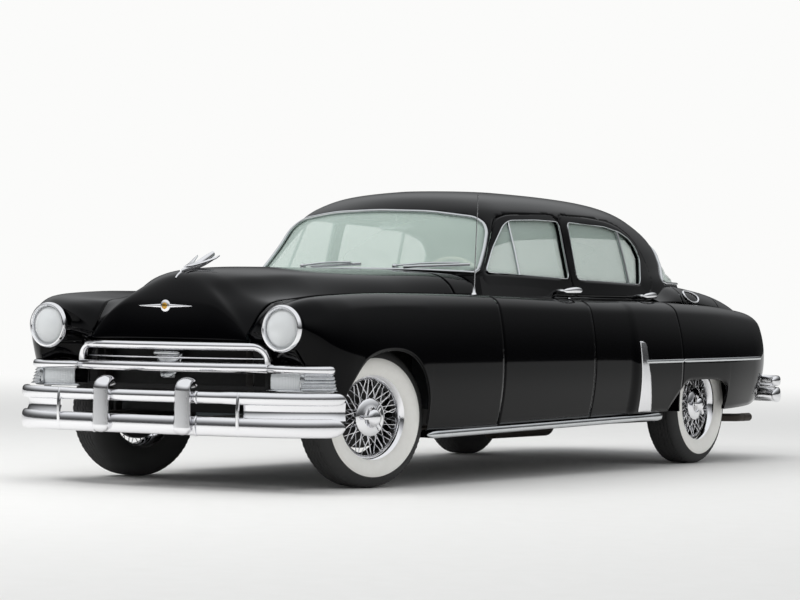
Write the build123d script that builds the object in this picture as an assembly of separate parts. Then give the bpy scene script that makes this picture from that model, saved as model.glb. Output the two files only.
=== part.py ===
"""A large four-door saloon car of the early 1950s, as separate pieces.

Millimetres. +Z is up, the front faces -Y and +X is the car's left. The origin
lies on the ground under the middle of the car. Tables of body sections give
places aft of the front axle, and at() turns them into Y.
"""
from build123d import *
import math
import os

# Overall sizes
length = 5563.0
wheelbase = 3391.0
front_overhang = 889.0
front_axle_y = front_overhang - length / 2
rear_overhang = length - front_overhang - wheelbase

# Wheels and tyres
tyre_r = 347.0
tyre_w = 206.0
tread_w = 150.0
axle_z = tyre_r
track_front = 1440.0
track_rear = 1514.0
rim_r = 209.0
rim_w = 160.0
rim_wall = 5.0
rim_lip = 13.0
hub_r = 46.0
hub_back = 44.0
hub_face = 58.0
cover_r = 93.0
cover_t = 9.0
cap_r = 43.0
cap_reach = 52.0
spinner_r = 62.0
spinner_w = 15.0
spoke_count = 12
spoke_w = 5.0
spindle_r = 17.0
running_fit = 0.06
end_gap = 0.4
drum_r = 152.0
drum_w = 40.0

# Steering and front suspension
kingpin_x = 640.0
kingpin_r = 16.0
eye_wall = 12.0
post_r = 27.0
steer_parked = 16.0
lower_arm_z = 236.0
upper_arm_z = 432.0
arm_t = 22.0

# Sheet and wall thicknesses
panel = 12.0
plate = 12.0
door_wall = 62.0
frame_wall = 24.0
roof_wall = 40.0
glass = 6.0
glass_depth = 17.0
glass_fit = 0.3
shut_gap = 5.0

# Shut lines and panel ends, aft of the front axle, and heights
hood_rear = 884.0
cowl_gap = 5.0
door_front = 945.0
door_middle = 1928.0
fender_line = 2418.0
door_rear = 2932.0
foot_rise = 0.0145
foot_front = 276.0
shoulder_z = 960.0
lap = 3.5
firewall = 905.0
bulkhead = 3300.0
hollow_seam = 3000.0
skin_x = 960.0
low_lean = 0.08
belt_x = 660.0
belt_foot = 932.0
high_lean = 0.27
lid_front = 3835.0
belt_edge = 815.0
belt_join = door_middle + low_lean * (belt_edge - skin_x) - high_lean * (belt_edge - belt_x)

# Door hinges, and how far a moving piece stays clear
hinge_x = 968.0
front_hinge = 967.0
rear_hinge = 1950.0
swing_clear = 5.0
swing_side = 850.0

# Chassis
rail_x = 350.0
rail_w = 80.0
rail_z = 270.0
rail_h = 90.0
rail_web = 5.0
kick_foot = 430.0
kick_top = 515.0
rail_front = -760.0
rail_rear = 4300.0
sill_x = 800.0
sill_w = 122.0
sill_h = 38.0
sill_drop = 6.0

# Reach of the cutting shapes
wide = 1100.0
high = 1700.0


def at(aft):
    """The Y of a place given aft of the front axle."""
    return front_axle_y + aft


def save(shape, node):
    """Writes one sub-part to its own file."""
    export_step(shape, f"parts/{node}.step")


def box(x0, x1, aft0, aft1, z0, z1):
    """A box between two places across, fore and aft, and up."""
    middle = ((x0 + x1) / 2, at((aft0 + aft1) / 2), (z0 + z1) / 2)
    return Pos(*middle) * Box(x1 - x0, aft1 - aft0, z1 - z0)


def bar(radius, start, end):
    """A round bar between two points, each given as across, aft and up."""
    start = Vector(start[0], at(start[1]), start[2])
    axis = Vector(end[0], at(end[1]), end[2]) - start
    return Solid.make_cylinder(radius, axis.length, Plane(start, z_dir=axis))


def side_prism(points, x0, x1, lean=0.0, pivot=0.0, gap=0.0):
    """An outline of (aft, z) points carried across from x0 to x1, drawn in by a gap.

    A leaning prism has its outline at the pivot and moves aft as it goes outwards.
    """
    outline = Face(Wire.make_polygon([Vector(0, at(aft), z) for aft, z in points]))
    if gap:
        outline = offset(outline, amount=-gap, kind=Kind.INTERSECTION).faces()[0]
    if not lean:
        return extrude(Pos(x0, 0, 0) * outline, x1 - x0, dir=(1, 0, 0))
    loops = [outline.outer_wire().moved(Location((x, lean * (abs(x) - pivot), 0))) for x in (x0, x1)]
    return Solid.make_loft(loops, True)


def plan_prism(points, z0, z1):
    """An outline of (x, aft) points carried up from z0 to z1."""
    loop = Wire.make_polygon([Vector(x, at(aft), z0) for x, aft in points])
    return extrude(Face(loop), z1 - z0, dir=(0, 0, 1))


def front_prism(points, aft0, aft1):
    """An outline of (x, z) points carried aft from aft0 to aft1."""
    loop = Wire.make_polygon([Vector(x, at(aft0), z) for x, z in points])
    return extrude(Face(loop), aft1 - aft0, dir=(0, 1, 0))


def whole(points):
    """A left half outline, given in order, closed with its mirror image."""
    return points + [(-x, other) for x, other in reversed(points)]


def right(shape):
    """The mirror image of a left piece."""
    return mirror(shape, about=Plane.YZ)


def rod(radius, start, end):
    """A round bar between two points of the shared frame."""
    axis = Vector(*end) - Vector(*start)
    return Solid.make_cylinder(radius, axis.length, Plane(Vector(*start), z_dir=axis))


def turned(points):
    """A solid turned about the X axis from (x, radius) points."""
    return revolve(Face(Wire.make_polygon([Vector(x, radius, 0) for x, radius in points])), Axis.X)


# Body sections

# aft, z_foot, x_foot, x_bulge, z_bulge, x_shoulder, z_shoulder, x_top, z_top, z_middle
front_sections = [
    (-690, 690, 770, 828, 770, 795, 852, 705, 886, 830),
    (-640, 600, 800, 866, 740, 832, 862, 715, 906, 845),
    (-560, 480, 850, 905, 700, 870, 874, 735, 924, 860),
    (-400, 380, 890, 938, 680, 900, 888, 760, 938, 880),
    (0, 276, 915, 958, 660, 918, 900, 790, 953, 925),
    (900, 281, 922, 960, 650, 922, 905, 810, 957, 950),
    (2000, 297, 922, 960, 650, 922, 895, 800, 943, 948),
    (3000, 312, 918, 956, 650, 916, 880, 798, 928, 931),
]
rear_sections = [
    (2418, 300, 936, 972, 650, 924, 895, 803, 941, 945),
    (2900, 308, 936, 974, 650, 922, 888, 800, 934, 937),
    (3500, 315, 925, 968, 650, 912, 874, 795, 917, 922),
    (3950, 330, 885, 935, 640, 884, 852, 768, 890, 896),
    (4250, 380, 800, 852, 640, 812, 812, 710, 852, 858),
    (4400, 430, 690, 735, 640, 705, 775, 610, 815, 822),
    (4480, 500, 560, 600, 640, 575, 740, 490, 780, 788),
]

# z, x_side, front_middle, x_front_corner, front_corner, x_rear_corner, rear_corner, rear_middle
house_sections = [
    (880, 832, 880, 790, 1030, 650, 3600, 3850),
    (1050, 800, 925, 715, 1098, 615, 3540, 3780),
    (1130, 786, 985, 686, 1165, 600, 3430, 3650),
    (1210, 770, 1045, 662, 1232, 588, 3335, 3560),
    (1330, 745, 1150, 628, 1322, 530, 3250, 3440),
    (1400, 722, 1225, 585, 1390, 475, 3150, 3310),
    (1450, 660, 1300, 520, 1465, 425, 3020, 3150),
    (1490, 560, 1390, 440, 1560, 360, 2800, 2910),
    (1518, 400, 1520, 320, 1680, 270, 2420, 2510),
    (1536, 190, 1720, 150, 1780, 120, 2080, 2120),
]

# aft, x_edge, z_edge, x_knee, z_knee, z_crown
hood_sections = [
    (-690, 400, 721, 270, 850, 872),
    (-650, 462, 721, 300, 918, 952),
    (-571, 476, 846, 325, 986, 1030),
    (-487, 493, 903, 340, 1020, 1060),
    (-90, 522, 943, 370, 1046, 1082),
    (500, 610, 960, 440, 1058, 1088),
    (950, 705, 961, 560, 1068, 1092),
    (1300, 775, 961, 660, 1052, 1085),
]
deck_sections = [
    (3250, 788, 940, 690, 1032, 1060),
    (3700, 762, 916, 650, 1004, 1048),
    (4000, 735, 892, 610, 965, 1006),
    (4250, 690, 856, 560, 905, 940),
    (4400, 610, 818, 490, 850, 870),
    (4480, 500, 786, 400, 800, 812),
]


def flipped(point):
    """The mirror image of a point on the other side of the car."""
    return (-point[0], point[1], point[2])


def side_section(row, inset):
    """A closed cross-section of the lower body: floor, bulged sides, shoulders and top."""
    aft, z_foot, x_foot, x_bulge, z_bulge, x_shoulder, z_shoulder, x_top, z_top, z_middle = row
    foot = (x_foot - inset, at(aft), z_foot + inset)
    bulge = (x_bulge - inset, at(aft), z_bulge)
    shoulder = (x_shoulder - inset, at(aft), z_shoulder - 0.4 * inset)
    top = (x_top - 0.6 * inset, at(aft), z_top - inset)
    round_x = top[0] + 0.72 * (shoulder[0] - top[0])
    turn = (round_x, at(aft), shoulder[2] + 0.7 * (top[2] - shoulder[2]))
    middle = (0, at(aft), z_middle - inset)
    return Wire([
        Line(foot, flipped(foot)),
        ThreePointArc(flipped(foot), flipped(bulge), flipped(shoulder)),
        ThreePointArc(flipped(shoulder), flipped(turn), flipped(top)),
        ThreePointArc(flipped(top), middle, top),
        ThreePointArc(top, turn, shoulder),
        ThreePointArc(shoulder, bulge, foot),
    ])


def house_section(row, inset):
    """A level section of the cabin's upper part: screen, sides and back as four arcs."""
    z, x_side, front, x_front, front_corner, x_rear, rear_corner, rear = row
    height = z - inset * max(0, min(1, (z - 1210) / 190))
    nose = (0, at(front + inset), height)
    corner = (x_front - inset, at(front_corner + 0.6 * inset), height)
    side = (x_side - inset, at(0.45 * front_corner + 0.55 * rear_corner), height)
    back = (x_rear - 0.8 * inset, at(rear_corner - 0.6 * inset), height)
    tail = (0, at(rear - inset), height)
    return Wire([
        ThreePointArc(flipped(corner), nose, corner),
        ThreePointArc(corner, side, back),
        ThreePointArc(back, tail, flipped(back)),
        ThreePointArc(flipped(back), flipped(side), flipped(corner)),
    ])


def crown_section(row, inset):
    """A cross-section of the hood or rear deck: upright edges, knees and a crowned top."""
    aft, x_edge, z_edge, x_knee, z_knee, z_crown = row
    edge = (x_edge - inset, at(aft), z_edge)
    knee = (x_knee - 0.6 * inset, at(aft), z_knee - 0.8 * inset)
    turn = (knee[0] + 0.62 * (edge[0] - knee[0]), at(aft), z_edge + 0.66 * (knee[2] - z_edge))
    crown = (0, at(aft), z_crown - inset)
    return Wire([
        Line(edge, flipped(edge)),
        ThreePointArc(flipped(edge), flipped(turn), flipped(knee)),
        ThreePointArc(flipped(knee), crown, knee),
        ThreePointArc(knee, turn, edge),
    ])


def slopes(places, values):
    """Slopes at the rows of a table's column that keep a faired curve from overshooting."""
    steps = [b - a for a, b in zip(places, places[1:])]
    rises = [(b - a) / step for a, b, step in zip(values, values[1:], steps)]
    found = [rises[0]]
    for i in range(1, len(rises)):
        if rises[i - 1] * rises[i] <= 0:
            found.append(0.0)
        else:
            near = 2 * steps[i] + steps[i - 1]
            far = steps[i] + 2 * steps[i - 1]
            found.append((near + far) / (near / rises[i - 1] + far / rises[i]))
    return found + [rises[-1]]


def faired(table, stations):
    """More rows for a table, at the given stations, on smooth curves through its own rows."""
    columns = list(zip(*table))
    places = columns[0]
    rows = []
    for station in stations:
        i = max(k for k in range(len(places) - 1) if places[k] <= station)
        step = places[i + 1] - places[i]
        t = (station - places[i]) / step
        row = [station]
        for values in columns[1:]:
            slope = slopes(places, values)
            row.append(values[i] * (1 + 2 * t) * (1 - t) ** 2 + step * slope[i] * t * (1 - t) ** 2
                       + values[i + 1] * t * t * (3 - 2 * t) + step * slope[i + 1] * t * t * (t - 1))
        rows.append(tuple(row))
    return rows


front_stations = [-690, -672, -640, -600, -550, -480, -380, -220, 0, 450, 900, 1450, 2000, 2500, 3000]
rear_stations = [2418, 2900, 3250, 3600, 3850, 4050, 4200, 4300, 4380, 4440, 4480]
house_stations = [880, 1050, 1130, 1210, 1270, 1330, 1370, 1400, 1430, 1455, 1475, 1493, 1508, 1520, 1529, 1536]
hood_stations = [-690, -678, -655, -620, -575, -520, -440, -320, -150, 100, 400, 700, 1000, 1300]
deck_stations = [3250, 3450, 3700, 3850, 4000, 4125, 4250, 4330, 4400, 4450, 4480]


def form(section, table, stations, inset):
    """A form through faired sections, drawn in by the inset on every side but its ends."""
    return Solid.make_loft([section(row, inset) for row in faired(table, stations)], True)


def front_body(inset=0.0):
    """The lower body from the nose to the rear doors."""
    return form(side_section, front_sections, front_stations, inset)


def rear_body(inset=0.0):
    """The lower body from the rear fender's leading edge to the tail."""
    return form(side_section, rear_sections, rear_stations, inset)


def house(inset=0.0):
    """The cabin's upper part from the belt to the roof."""
    return form(house_section, house_sections, house_stations, inset)


def hood_form(inset=0.0):
    """The hood and cowl as one crowned form."""
    return form(crown_section, hood_sections, hood_stations, inset)


def deck_form(inset=0.0):
    """The rear deck as one crowned form."""
    return form(crown_section, deck_sections, deck_stations, inset)


os.makedirs("parts", exist_ok=True)

# Cabin outer form and hollow
side_form = (front_body() & box(-wide, wide, -800, fender_line, 0, high)) + (
    rear_body() & box(-wide, wide, fender_line, length, 0, high))
side_hollow = (front_body(door_wall) & box(-wide, wide, firewall, hollow_seam, 0, high)) + (
    rear_body(door_wall) & box(-wide, wide, hollow_seam, bulkhead, 0, high))
house_form = house()
house_hollow = house(roof_wall)
cabin_form = side_form + house_form
shell = (cabin_form & box(-wide, wide, door_front - 200, bulkhead, 0, high)) - side_hollow - house(frame_wall)


def foot_z(aft):
    """The height of the body's lower edge, which rises towards the rear."""
    return foot_front + foot_rise * aft


# Doors: (aft, z) outlines of the lower panels, the window frames and the windows
front_low = [(door_front, foot_z(door_front)), (door_middle, foot_z(door_middle)),
             (door_middle, shoulder_z + lap), (door_front, shoulder_z + lap)]
rear_low = [(door_middle, foot_z(door_middle)), (door_rear, foot_z(door_rear)),
            (door_rear, shoulder_z + lap), (door_middle, shoulder_z + lap)]
front_high = [(902, shoulder_z - lap), (905, 990), (985, 1052), (1110, 1060), (1247, 1200), (1345, 1320),
              (1413, 1372), (1505, 1396), (1689, 1404), (1879, 1407), (belt_join, shoulder_z - lap)]
rear_high = [(belt_join, shoulder_z - lap), (1879, 1407), (2115, 1404), (2465, 1384), (2673, 1346), (2829, 1292),
             (2923, 1208), (2959, 1130), (2961, 1060), (2913, 1000), (2890, shoulder_z - lap)]
front_window = [(1160, 1080), (1888, 1056), (1888, 1368), (1700, 1372), (1490, 1364), (1420, 1332),
                (1288, 1212)]
rear_window = [(1972, 1054), (2775, 1038), (2868, 1190), (2830, 1252), (2760, 1296), (2624, 1332),
               (2400, 1356), (1972, 1368)]
rear_arch = [(2790, 200), (2799, 312), (2868, 389), (2968, 475), (3020, 492), (3076, 496), (3325, 497),
             (3476, 484), (3545, 452), (3562, 400), (3564, 200)]
front_arch = [(-470, 200), (-455, 455), (-413, 540), (-354, 616), (-293, 653), (-196, 679), (-88, 685),
              (3, 677), (95, 647), (174, 582), (228, 483), (253, 383), (262, 200)]
rear_arch_cut = side_prism(rear_arch, 600, wide)
front_arch_cut = side_prism(front_arch, 600, wide)
step_x = 862.0
step_z = 400.0
seam_step = 0.5


def door_space(low, high_part, gap):
    """The left-hand space of one door, less a gap all round it."""
    lower = side_prism(low, 700, wide, low_lean, skin_x, gap) - box(600, step_x, 0, length, 0, step_z)
    return lower + side_prism(high_part, 600, wide, high_lean, belt_x, gap)


def door_glass(window):
    """The curved pane of one window, let into its frame."""
    layer = house(glass_depth) - house(glass_depth + glass)
    return layer & side_prism(window, 600, wide, 0, 0, glass_fit)


def save_pair(shape, node):
    """Writes a left piece and its mirror image as two nodes."""
    save(shape, f"{node}_left")
    save(right(shape), f"{node}_right")


def swing(hinge, radius):
    """The round space that a left door's points reach about its hinge."""
    return Pos(hinge_x, at(hinge), high / 2) * Cylinder(radius, 2 * high)


doors = [("front", front_low, front_high, front_window, front_hinge, door_middle),
         ("rear", rear_low, rear_high, rear_window, rear_hinge, door_rear)]
for place, low, high_part, window, hinge, door_end in doors:
    door = (shell & door_space(low, high_part, shut_gap / 2)) - side_prism(window, 600, wide)
    if place == "rear":
        door = door - door_space(front_low, front_high, seam_step - shut_gap / 2)
    inner_end = box(600, swing_side, hinge + 500, length, 0, shoulder_z + lap)
    door = door - (inner_end - swing(hinge, door_end - hinge - swing_clear))
    save_pair(door - rear_arch_cut, f"door_{place}")
    save_pair(door_glass(window), f"glass_{place}")

# Windscreen and backlight openings, seen from the front as (x, z)
screen = whole([(0.1, 1092), (400, 1088), (640, 1080), (668, 1086), (672, 1100), (632, 1210), (590, 1318),
                (572, 1352), (520, 1380), (300, 1404), (0.1, 1412)])
backlight = whole([(0.1, 1062), (560, 1062), (598, 1075), (585, 1150), (560, 1240), (520, 1290), (400, 1322),
                   (0.1, 1340)])
screen_reach = (800, 1460)
backlight_reach = (3180, 4000)
pane_layer = house(glass_depth) - house(glass_depth + glass)
save((pane_layer & front_prism(screen, *screen_reach)) + (pane_layer & front_prism(backlight, *backlight_reach)),
     "fixed_glass")

# Roof with its screen and rear pillars
gaps = [door_space(row[1], row[2], -shut_gap / 2) for row in doors]
roof = (house_form - house_hollow) & box(-wide, wide, 0, length, shoulder_z, high)
roof = roof - front_prism(screen, *screen_reach) - front_prism(backlight, *backlight_reach)
for gap in gaps:
    roof = roof - gap - right(gap)
save(roof, "roof")

# Cabin sides below the roof: belt rails, door posts and sills
post_aft = 40.0
post_top = 885.0
post_w = 82.0
sill_front = 362.0
sill_rear = 2790.0
side_core = front_body(door_wall + shut_gap)
sill = side_prism([(sill_front, foot_z(sill_front) - sill_drop - sill_h),
                   (sill_rear, foot_z(sill_rear) - sill_drop - sill_h),
                   (sill_rear, foot_z(sill_rear) - sill_drop),
                   (sill_front, foot_z(sill_front) - sill_drop)], sill_x, sill_x + sill_w)
side = sill
for aft in (firewall + post_aft, door_middle):
    post = box(sill_x, sill_x + post_w, aft - post_aft, aft + post_aft, foot_z(aft) + door_wall, post_top)
    side = side + (post & side_core) + box(sill_x, sill_x + 40, aft - post_aft, aft + post_aft,
                                           foot_z(aft) - sill_drop - 4, foot_z(aft) + door_wall + 10)
belt = (house_form - house_hollow) & box(-wide, wide, firewall - 20, 1000, belt_foot, shoulder_z)
belt = belt & box(-690, 690, 0, 1000, 0, high)
for gap in gaps:
    belt = belt - gap - right(gap)
save(side + right(side) + belt, "cabin_sides")

# Front fenders: a skin outside the hood's seam, with an inner apron
seam_stations = [station for station in hood_stations if station < door_front] + [door_front]
nose_x = 462.0
seam_start = -760.0
apron_z = 715.0
apron_x = 424.0
apron_foot = 470.0
apron_front = -440.0
lip_x = 902.0
grille_x = 592.0
grille_top = 712.0
lamp_x = 707.0
lamp_z = 780.0
lamp_face = -690.0
bucket_r = 98.0


def seam(shift):
    """The fender's inner edge in plan, along the hood's side from the nose to the door."""
    edge = [(max(row[1], nose_x) + shut_gap + shift, row[0]) for row in faired(hood_sections, seam_stations)]
    return [(edge[0][0], seam_start)] + edge


fender_end = door_front - shut_gap / 2
nose_skin = front_body() - Pos(0, panel, 0) * front_body(panel)
wall = front_body() & plan_prism(seam(0) + seam(panel)[::-1], apron_z, high)
fender = nose_skin & plan_prism([(wide, seam_start)] + seam(0) + [(wide, door_front)], 0, high)
fender = (fender + wall) & box(0, wide, seam_start, fender_end, 0, high)
fender = fender - front_arch_cut - box(0, lip_x, apron_front, door_front, 0, 600)
fender = fender - box(0, grille_x, seam_start, -555, 0, grille_top)
fender = fender - bar(bucket_r + 0.5, (lamp_x, seam_start, lamp_z), (lamp_x, -560, lamp_z))
ledge = plan_prism([(apron_x, apron_front)] + [point for point in seam(panel) if point[1] > apron_front]
                   + [(apron_x, fender_end)], apron_z, apron_z + plate)
ledge = ledge & box(0, wide, apron_front, firewall - plate, 0, high)
apron = box(apron_x, apron_x + plate, apron_front, firewall - plate, apron_foot, apron_z + plate)
fender = fender + ledge + apron - sill
for gap in gaps:
    fender = fender - gap
save(fender + right(fender), "front_fenders")

# Hood, and the cowl between it and the windscreen
crown_skin = hood_form() - Pos(0, panel, 0) * hood_form(panel)
save(crown_skin & box(-wide, wide, -800, hood_rear, 0, high), "hood")
cowl = crown_skin & box(-wide, wide, hood_rear + cowl_gap, 1290, 0, high)
cowl = cowl - cabin_form
for gap in gaps:
    cowl = cowl - gap - right(gap)
save(cowl, "cowl")

# Rear quarters with the bulkhead, the deck panel and the trunk lid
quarter_start = door_rear + shut_gap / 2
trunk = (Pos(0, -panel, 0) * rear_body(panel)) & box(-wide, wide, bulkhead + plate, length, 0, high)
rear_hollow = rear_body(door_wall) & box(-wide, wide, fender_line, bulkhead, 0, high)
quarters = rear_body() & box(-wide, wide, quarter_start, length, 0, shoulder_z)
quarters = quarters - trunk - rear_hollow - (house_hollow & box(-wide, wide, 0, bulkhead, 0, high))
quarters = quarters - box(-770, 770, fender_line, bulkhead, 840, 890)
deck_stations_inside = [station for station in deck_stations if bulkhead < station < 4460]
deck_edge = [(row[1] - panel, row[0]) for row in faired(deck_sections, deck_stations_inside)]
deck_hole = [(0.1, bulkhead + plate), (deck_edge[0][0], bulkhead + plate)] + deck_edge + [(0.1, deck_edge[-1][1])]
quarters = quarters - plan_prism(whole(deck_hole), 750, high)
quarters = quarters - rear_arch_cut - right(rear_arch_cut)
quarters = quarters - box(-800, 800, quarter_start, 4330, 0, kick_top)
for gap in gaps:
    quarters = quarters - gap - right(gap)

# Wheelhouses over the rear tyres
house_r = 405.0
house_x = track_rear / 2 - 125
house_out = track_rear / 2 + 173
house_wall_foot = 400.0
wheelhouse = bar(house_r + panel, (house_x, wheelbase, axle_z), (house_out, wheelbase, axle_z))
wheelhouse = wheelhouse - bar(house_r, (house_x + panel, wheelbase, axle_z), (house_out + 10, wheelbase, axle_z))
wheelhouse = wheelhouse - box(0, house_x + panel, 0, length, 0, house_wall_foot)
wheelhouse = wheelhouse & box(0, wide, 0, length, 300, high) & rear_body(panel / 2)
tyre_space = bar(house_r, (house_x + panel, wheelbase, axle_z), (house_out - 20, wheelbase, axle_z))
quarters = quarters - tyre_space - right(tyre_space)
trunk_floor = box(-house_x - panel / 2, house_x + panel / 2, bulkhead, 4330, kick_top, kick_top + plate)
quarters = quarters + wheelhouse + right(wheelhouse) + trunk_floor

lid_side = 560.0
lid_rear_side = 480.0
lid_taper = 4100.0
lid_end = 4470.0
deck_skin = deck_form() - Pos(0, -panel, 0) * deck_form(panel)
lid_space = whole([(0.1, lid_front), (lid_side, lid_front), (lid_side, lid_taper), (lid_rear_side, lid_end),
                   (lid_rear_side, length), (0.1, length)])
lid_line = Face(Wire.make_polygon([Vector(x, at(aft), 700) for x, aft in lid_space]))
lid_cuts = [extrude(offset(lid_line, amount=amount, kind=Kind.INTERSECTION), 700, dir=(0, 0, 1))
            for amount in (-shut_gap / 2, shut_gap / 2)]
save(deck_skin & lid_cuts[0], "trunk_lid")
deck = deck_skin - lid_cuts[1] - house_form
save(deck, "deck_panel")
save(quarters - (lid_cuts[1] & box(-wide, wide, 0, length, 780, high)), "rear_quarters")

# Front end: one plan arc carries the grille hoop, the middle bar and the plate behind them
nose_mid = -735.0
nose_side = -619.0
nose_half = 570.0
nose_sag = nose_side - nose_mid
nose_bow = (nose_half ** 2 + nose_sag ** 2) / (2 * nose_sag)
hoop_depth = 38.0
hoop_bar = 26.0
hoop_half = 578.0
hoop_foot = 560.0
hoop_top = 704.0
hoop_corner = 72.0
bar_h = 40.0
backing_half = 588.0
backing_foot = 480.0
backing_top = 710.0
backing_rim = 52.0


def nose_layer(depth0, depth1):
    """The space between two depths behind the grille's plan arc."""
    centre = (0, at(nose_mid) + nose_bow, 300)
    outer, inner = [Pos(*centre) * Cylinder(nose_bow - depth, 900) for depth in (depth0, depth1)]
    return (outer - inner) & box(-wide, wide, nose_mid - 50, -400, 0, high)


def hoop_outline(half, foot, top, corner):
    """A flat-footed outline, rounded at its two top corners, carried through the grille."""
    flat = Pos(0, (foot + top) / 2) * Rectangle(2 * half, top - foot)
    rounded = fillet(flat.vertices().group_by(Axis.Y)[-1], corner)
    return extrude(Plane.XZ.offset(-at(-400)) * rounded, 600)


front_layer = nose_layer(0, hoop_depth)
hoop = front_layer & hoop_outline(hoop_half, hoop_foot, hoop_top, hoop_corner)
hoop = hoop - hoop_outline(hoop_half - hoop_bar, hoop_foot + bar_h, hoop_top - hoop_bar, hoop_corner - hoop_bar)
block_half = 62.0
block_foot = 530.0
block_top = 650.0
block_proud = 22.0
block_profile = [(-block_half, block_top), (block_half, block_top), (block_half - 18, hoop_foot - 5),
                 (block_half - 30, block_foot), (30 - block_half, block_foot), (18 - block_half, hoop_foot - 5)]
block = nose_layer(-block_proud, hoop_depth) & front_prism(block_profile, nose_mid - 50, -500)
backing = nose_layer(hoop_depth, hoop_depth + plate) & box(-backing_half, backing_half, -800, -400,
                                                             backing_foot, backing_top)
backing = backing - hoop_outline(backing_half - backing_rim, backing_foot + 20, backing_top - 22, 50)
save(hoop + block, "grille")
save(backing, "grille_shell")

# Lamp housings below the headlamps, seated on the fenders
housing_foot = 502.0
housing_top = 584.0
housing_plan = [(582, -500), (582, -628), (700, -640), (800, -622), (868, -588), (905, -535), (915, -470)]
housings = plan_prism(housing_plan, housing_foot, housing_top) - front_body()
housings = housings & box(0, wide, -700, -500, 0, high)

# Headlamps: a bezel and bowl turned about the lamp's axis, and a domed lens
bezel_r = 112.0
bowl_r = 88.0
lens_r = bowl_r - glass_fit
bezel_profile = [(-90, 0), (-90, bucket_r), (0, bucket_r), (0, bezel_r), (20, bezel_r), (31, 104), (27, 91),
                 (10, bowl_r), (-50, 60), (-68, 0)]
lens_profile = [(10, 0), (10, lens_r), (14, lens_r), (34, 0)]


def facing(profile, x, aft, z, ahead=-1):
    """A lathe profile of (reach, radius) points, turned and set facing forwards or aft."""
    return Pos(x, at(aft), z) * Rot(0, 0, 90 * ahead) * turned(profile)


bezel = facing(bezel_profile, lamp_x, lamp_face, lamp_z)
lens = facing(lens_profile, lamp_x, lamp_face, lamp_z)
save(bezel + right(bezel) + housings + right(housings), "front_lamps")
save(lens + right(lens), "headlamp_lenses")

# Radiator on its support plate
support_aft = -456.0
core_half = 320.0
rail_top = rail_z + rail_h
support = box(-rail_x - rail_w, rail_x + rail_w, support_aft, support_aft + 8, rail_top, 720)
core = box(-core_half, core_half, support_aft - 64, support_aft, rail_top + 12, 700)
save(support + core, "radiator")

# Bumpers: upper and lower bars swept round the ends, guards and frame irons
# node, middle, knee_x, knee_aft, end_x, end_aft, guard_from, guard_to, iron_from, iron_to, iron_z
bumpers = [
    ("front_bumper", -840.0, 640.0, -800.0, 960.0, -566.0, -front_overhang, -820.0, -830.0,
     rail_front, 290.0),
    ("rear_bumper", 4610.0, 640.0, 4572.0, 925.0, 4310.0, 4592.0, wheelbase + rear_overhang,
     rail_rear, 4602.0, 345.0),
]
# z, height, depth
bar_rows = [(330, 124, 26), (466, 52, 24)]
guard_x = 245.0
guard_w = 62.0
guard_foot = 255.0
guard_top = 511.0
iron_w = 50.0
iron_h = 50.0


def bumper_bar(middle, knee_x, knee_aft, end_x, end_aft, z, bar_high, bar_deep):
    """One rounded bar swept along the bumper's plan curve and round the body's corners."""
    arc = ThreePointArc(Vector(-knee_x, at(knee_aft), z), Vector(0, at(middle), z), Vector(knee_x, at(knee_aft), z))
    left_end = TangentArc(arc @ 1, Vector(end_x, at(end_aft), z), tangent=arc % 1)
    right_end = TangentArc(arc @ 0, Vector(-end_x, at(end_aft), z), tangent=-(arc % 0))
    path = Wire([right_end, arc, left_end])
    outline = Polygon((-bar_high / 2, -0.25 * bar_deep), (-0.36 * bar_high, -bar_deep / 2),
                      (0.36 * bar_high, -bar_deep / 2),
                      (bar_high / 2, -0.25 * bar_deep), (bar_high / 2, bar_deep / 2), (-bar_high / 2, bar_deep / 2))
    return sweep(Plane(origin=path @ 0, z_dir=path % 0, x_dir=(0, 0, 1)) * outline, path=path)


for node, middle, knee_x, knee_aft, end_x, end_aft, guard_from, guard_to, iron_from, iron_to, iron_z in bumpers:
    guard = box(guard_x - guard_w / 2, guard_x + guard_w / 2, guard_from, guard_to, guard_foot, guard_top)
    guard = fillet(guard.edges().filter_by(Axis.X), 14)
    iron_x = rail_x + rail_w - rail_web
    iron = box(iron_x - iron_w, iron_x, iron_from, iron_to, iron_z, iron_z + iron_h)
    bumper = guard + right(guard) + iron + right(iron)
    for z, bar_high, bar_deep in bar_rows:
        bumper = bumper + bumper_bar(middle, knee_x, knee_aft, end_x, end_aft, z, bar_high, bar_deep)
    save(bumper, node)

# Chassis: side rails with a kick-up over the rear axle, and cross members
tail_foot = 330.0
member_w = 60.0
rail_line = [(rail_front, rail_z), (2640, rail_z), (2990, kick_foot), (3790, kick_foot), (4050, tail_foot),
             (rail_rear, tail_foot), (rail_rear, tail_foot + rail_h), (4085, tail_foot + rail_h),
             (3810, kick_top), (2970, kick_top), (2605, rail_z + rail_h), (rail_front, rail_z + rail_h)]
rail = side_prism(rail_line, rail_x, rail_x + rail_w)
rail_hollow = side_prism(rail_line, rail_x - 1, rail_x + rail_w - rail_web, 0, 0, rail_web)
rail = rail - rail_hollow
member_half = rail_x + rail_w - rail_web + 1
# aft, foot, top
member_rows = [(-640, 280, 340), (1150, 277, 309), (1900, 280, 320), (4250, 345, 405)]
members = [box(-member_half, member_half, aft - member_w / 2, aft + member_w / 2, foot, top)
           for aft, foot, top in member_rows]
chassis = rail + right(rail)
for member in members:
    chassis = chassis + member
save(chassis, "chassis")

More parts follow.
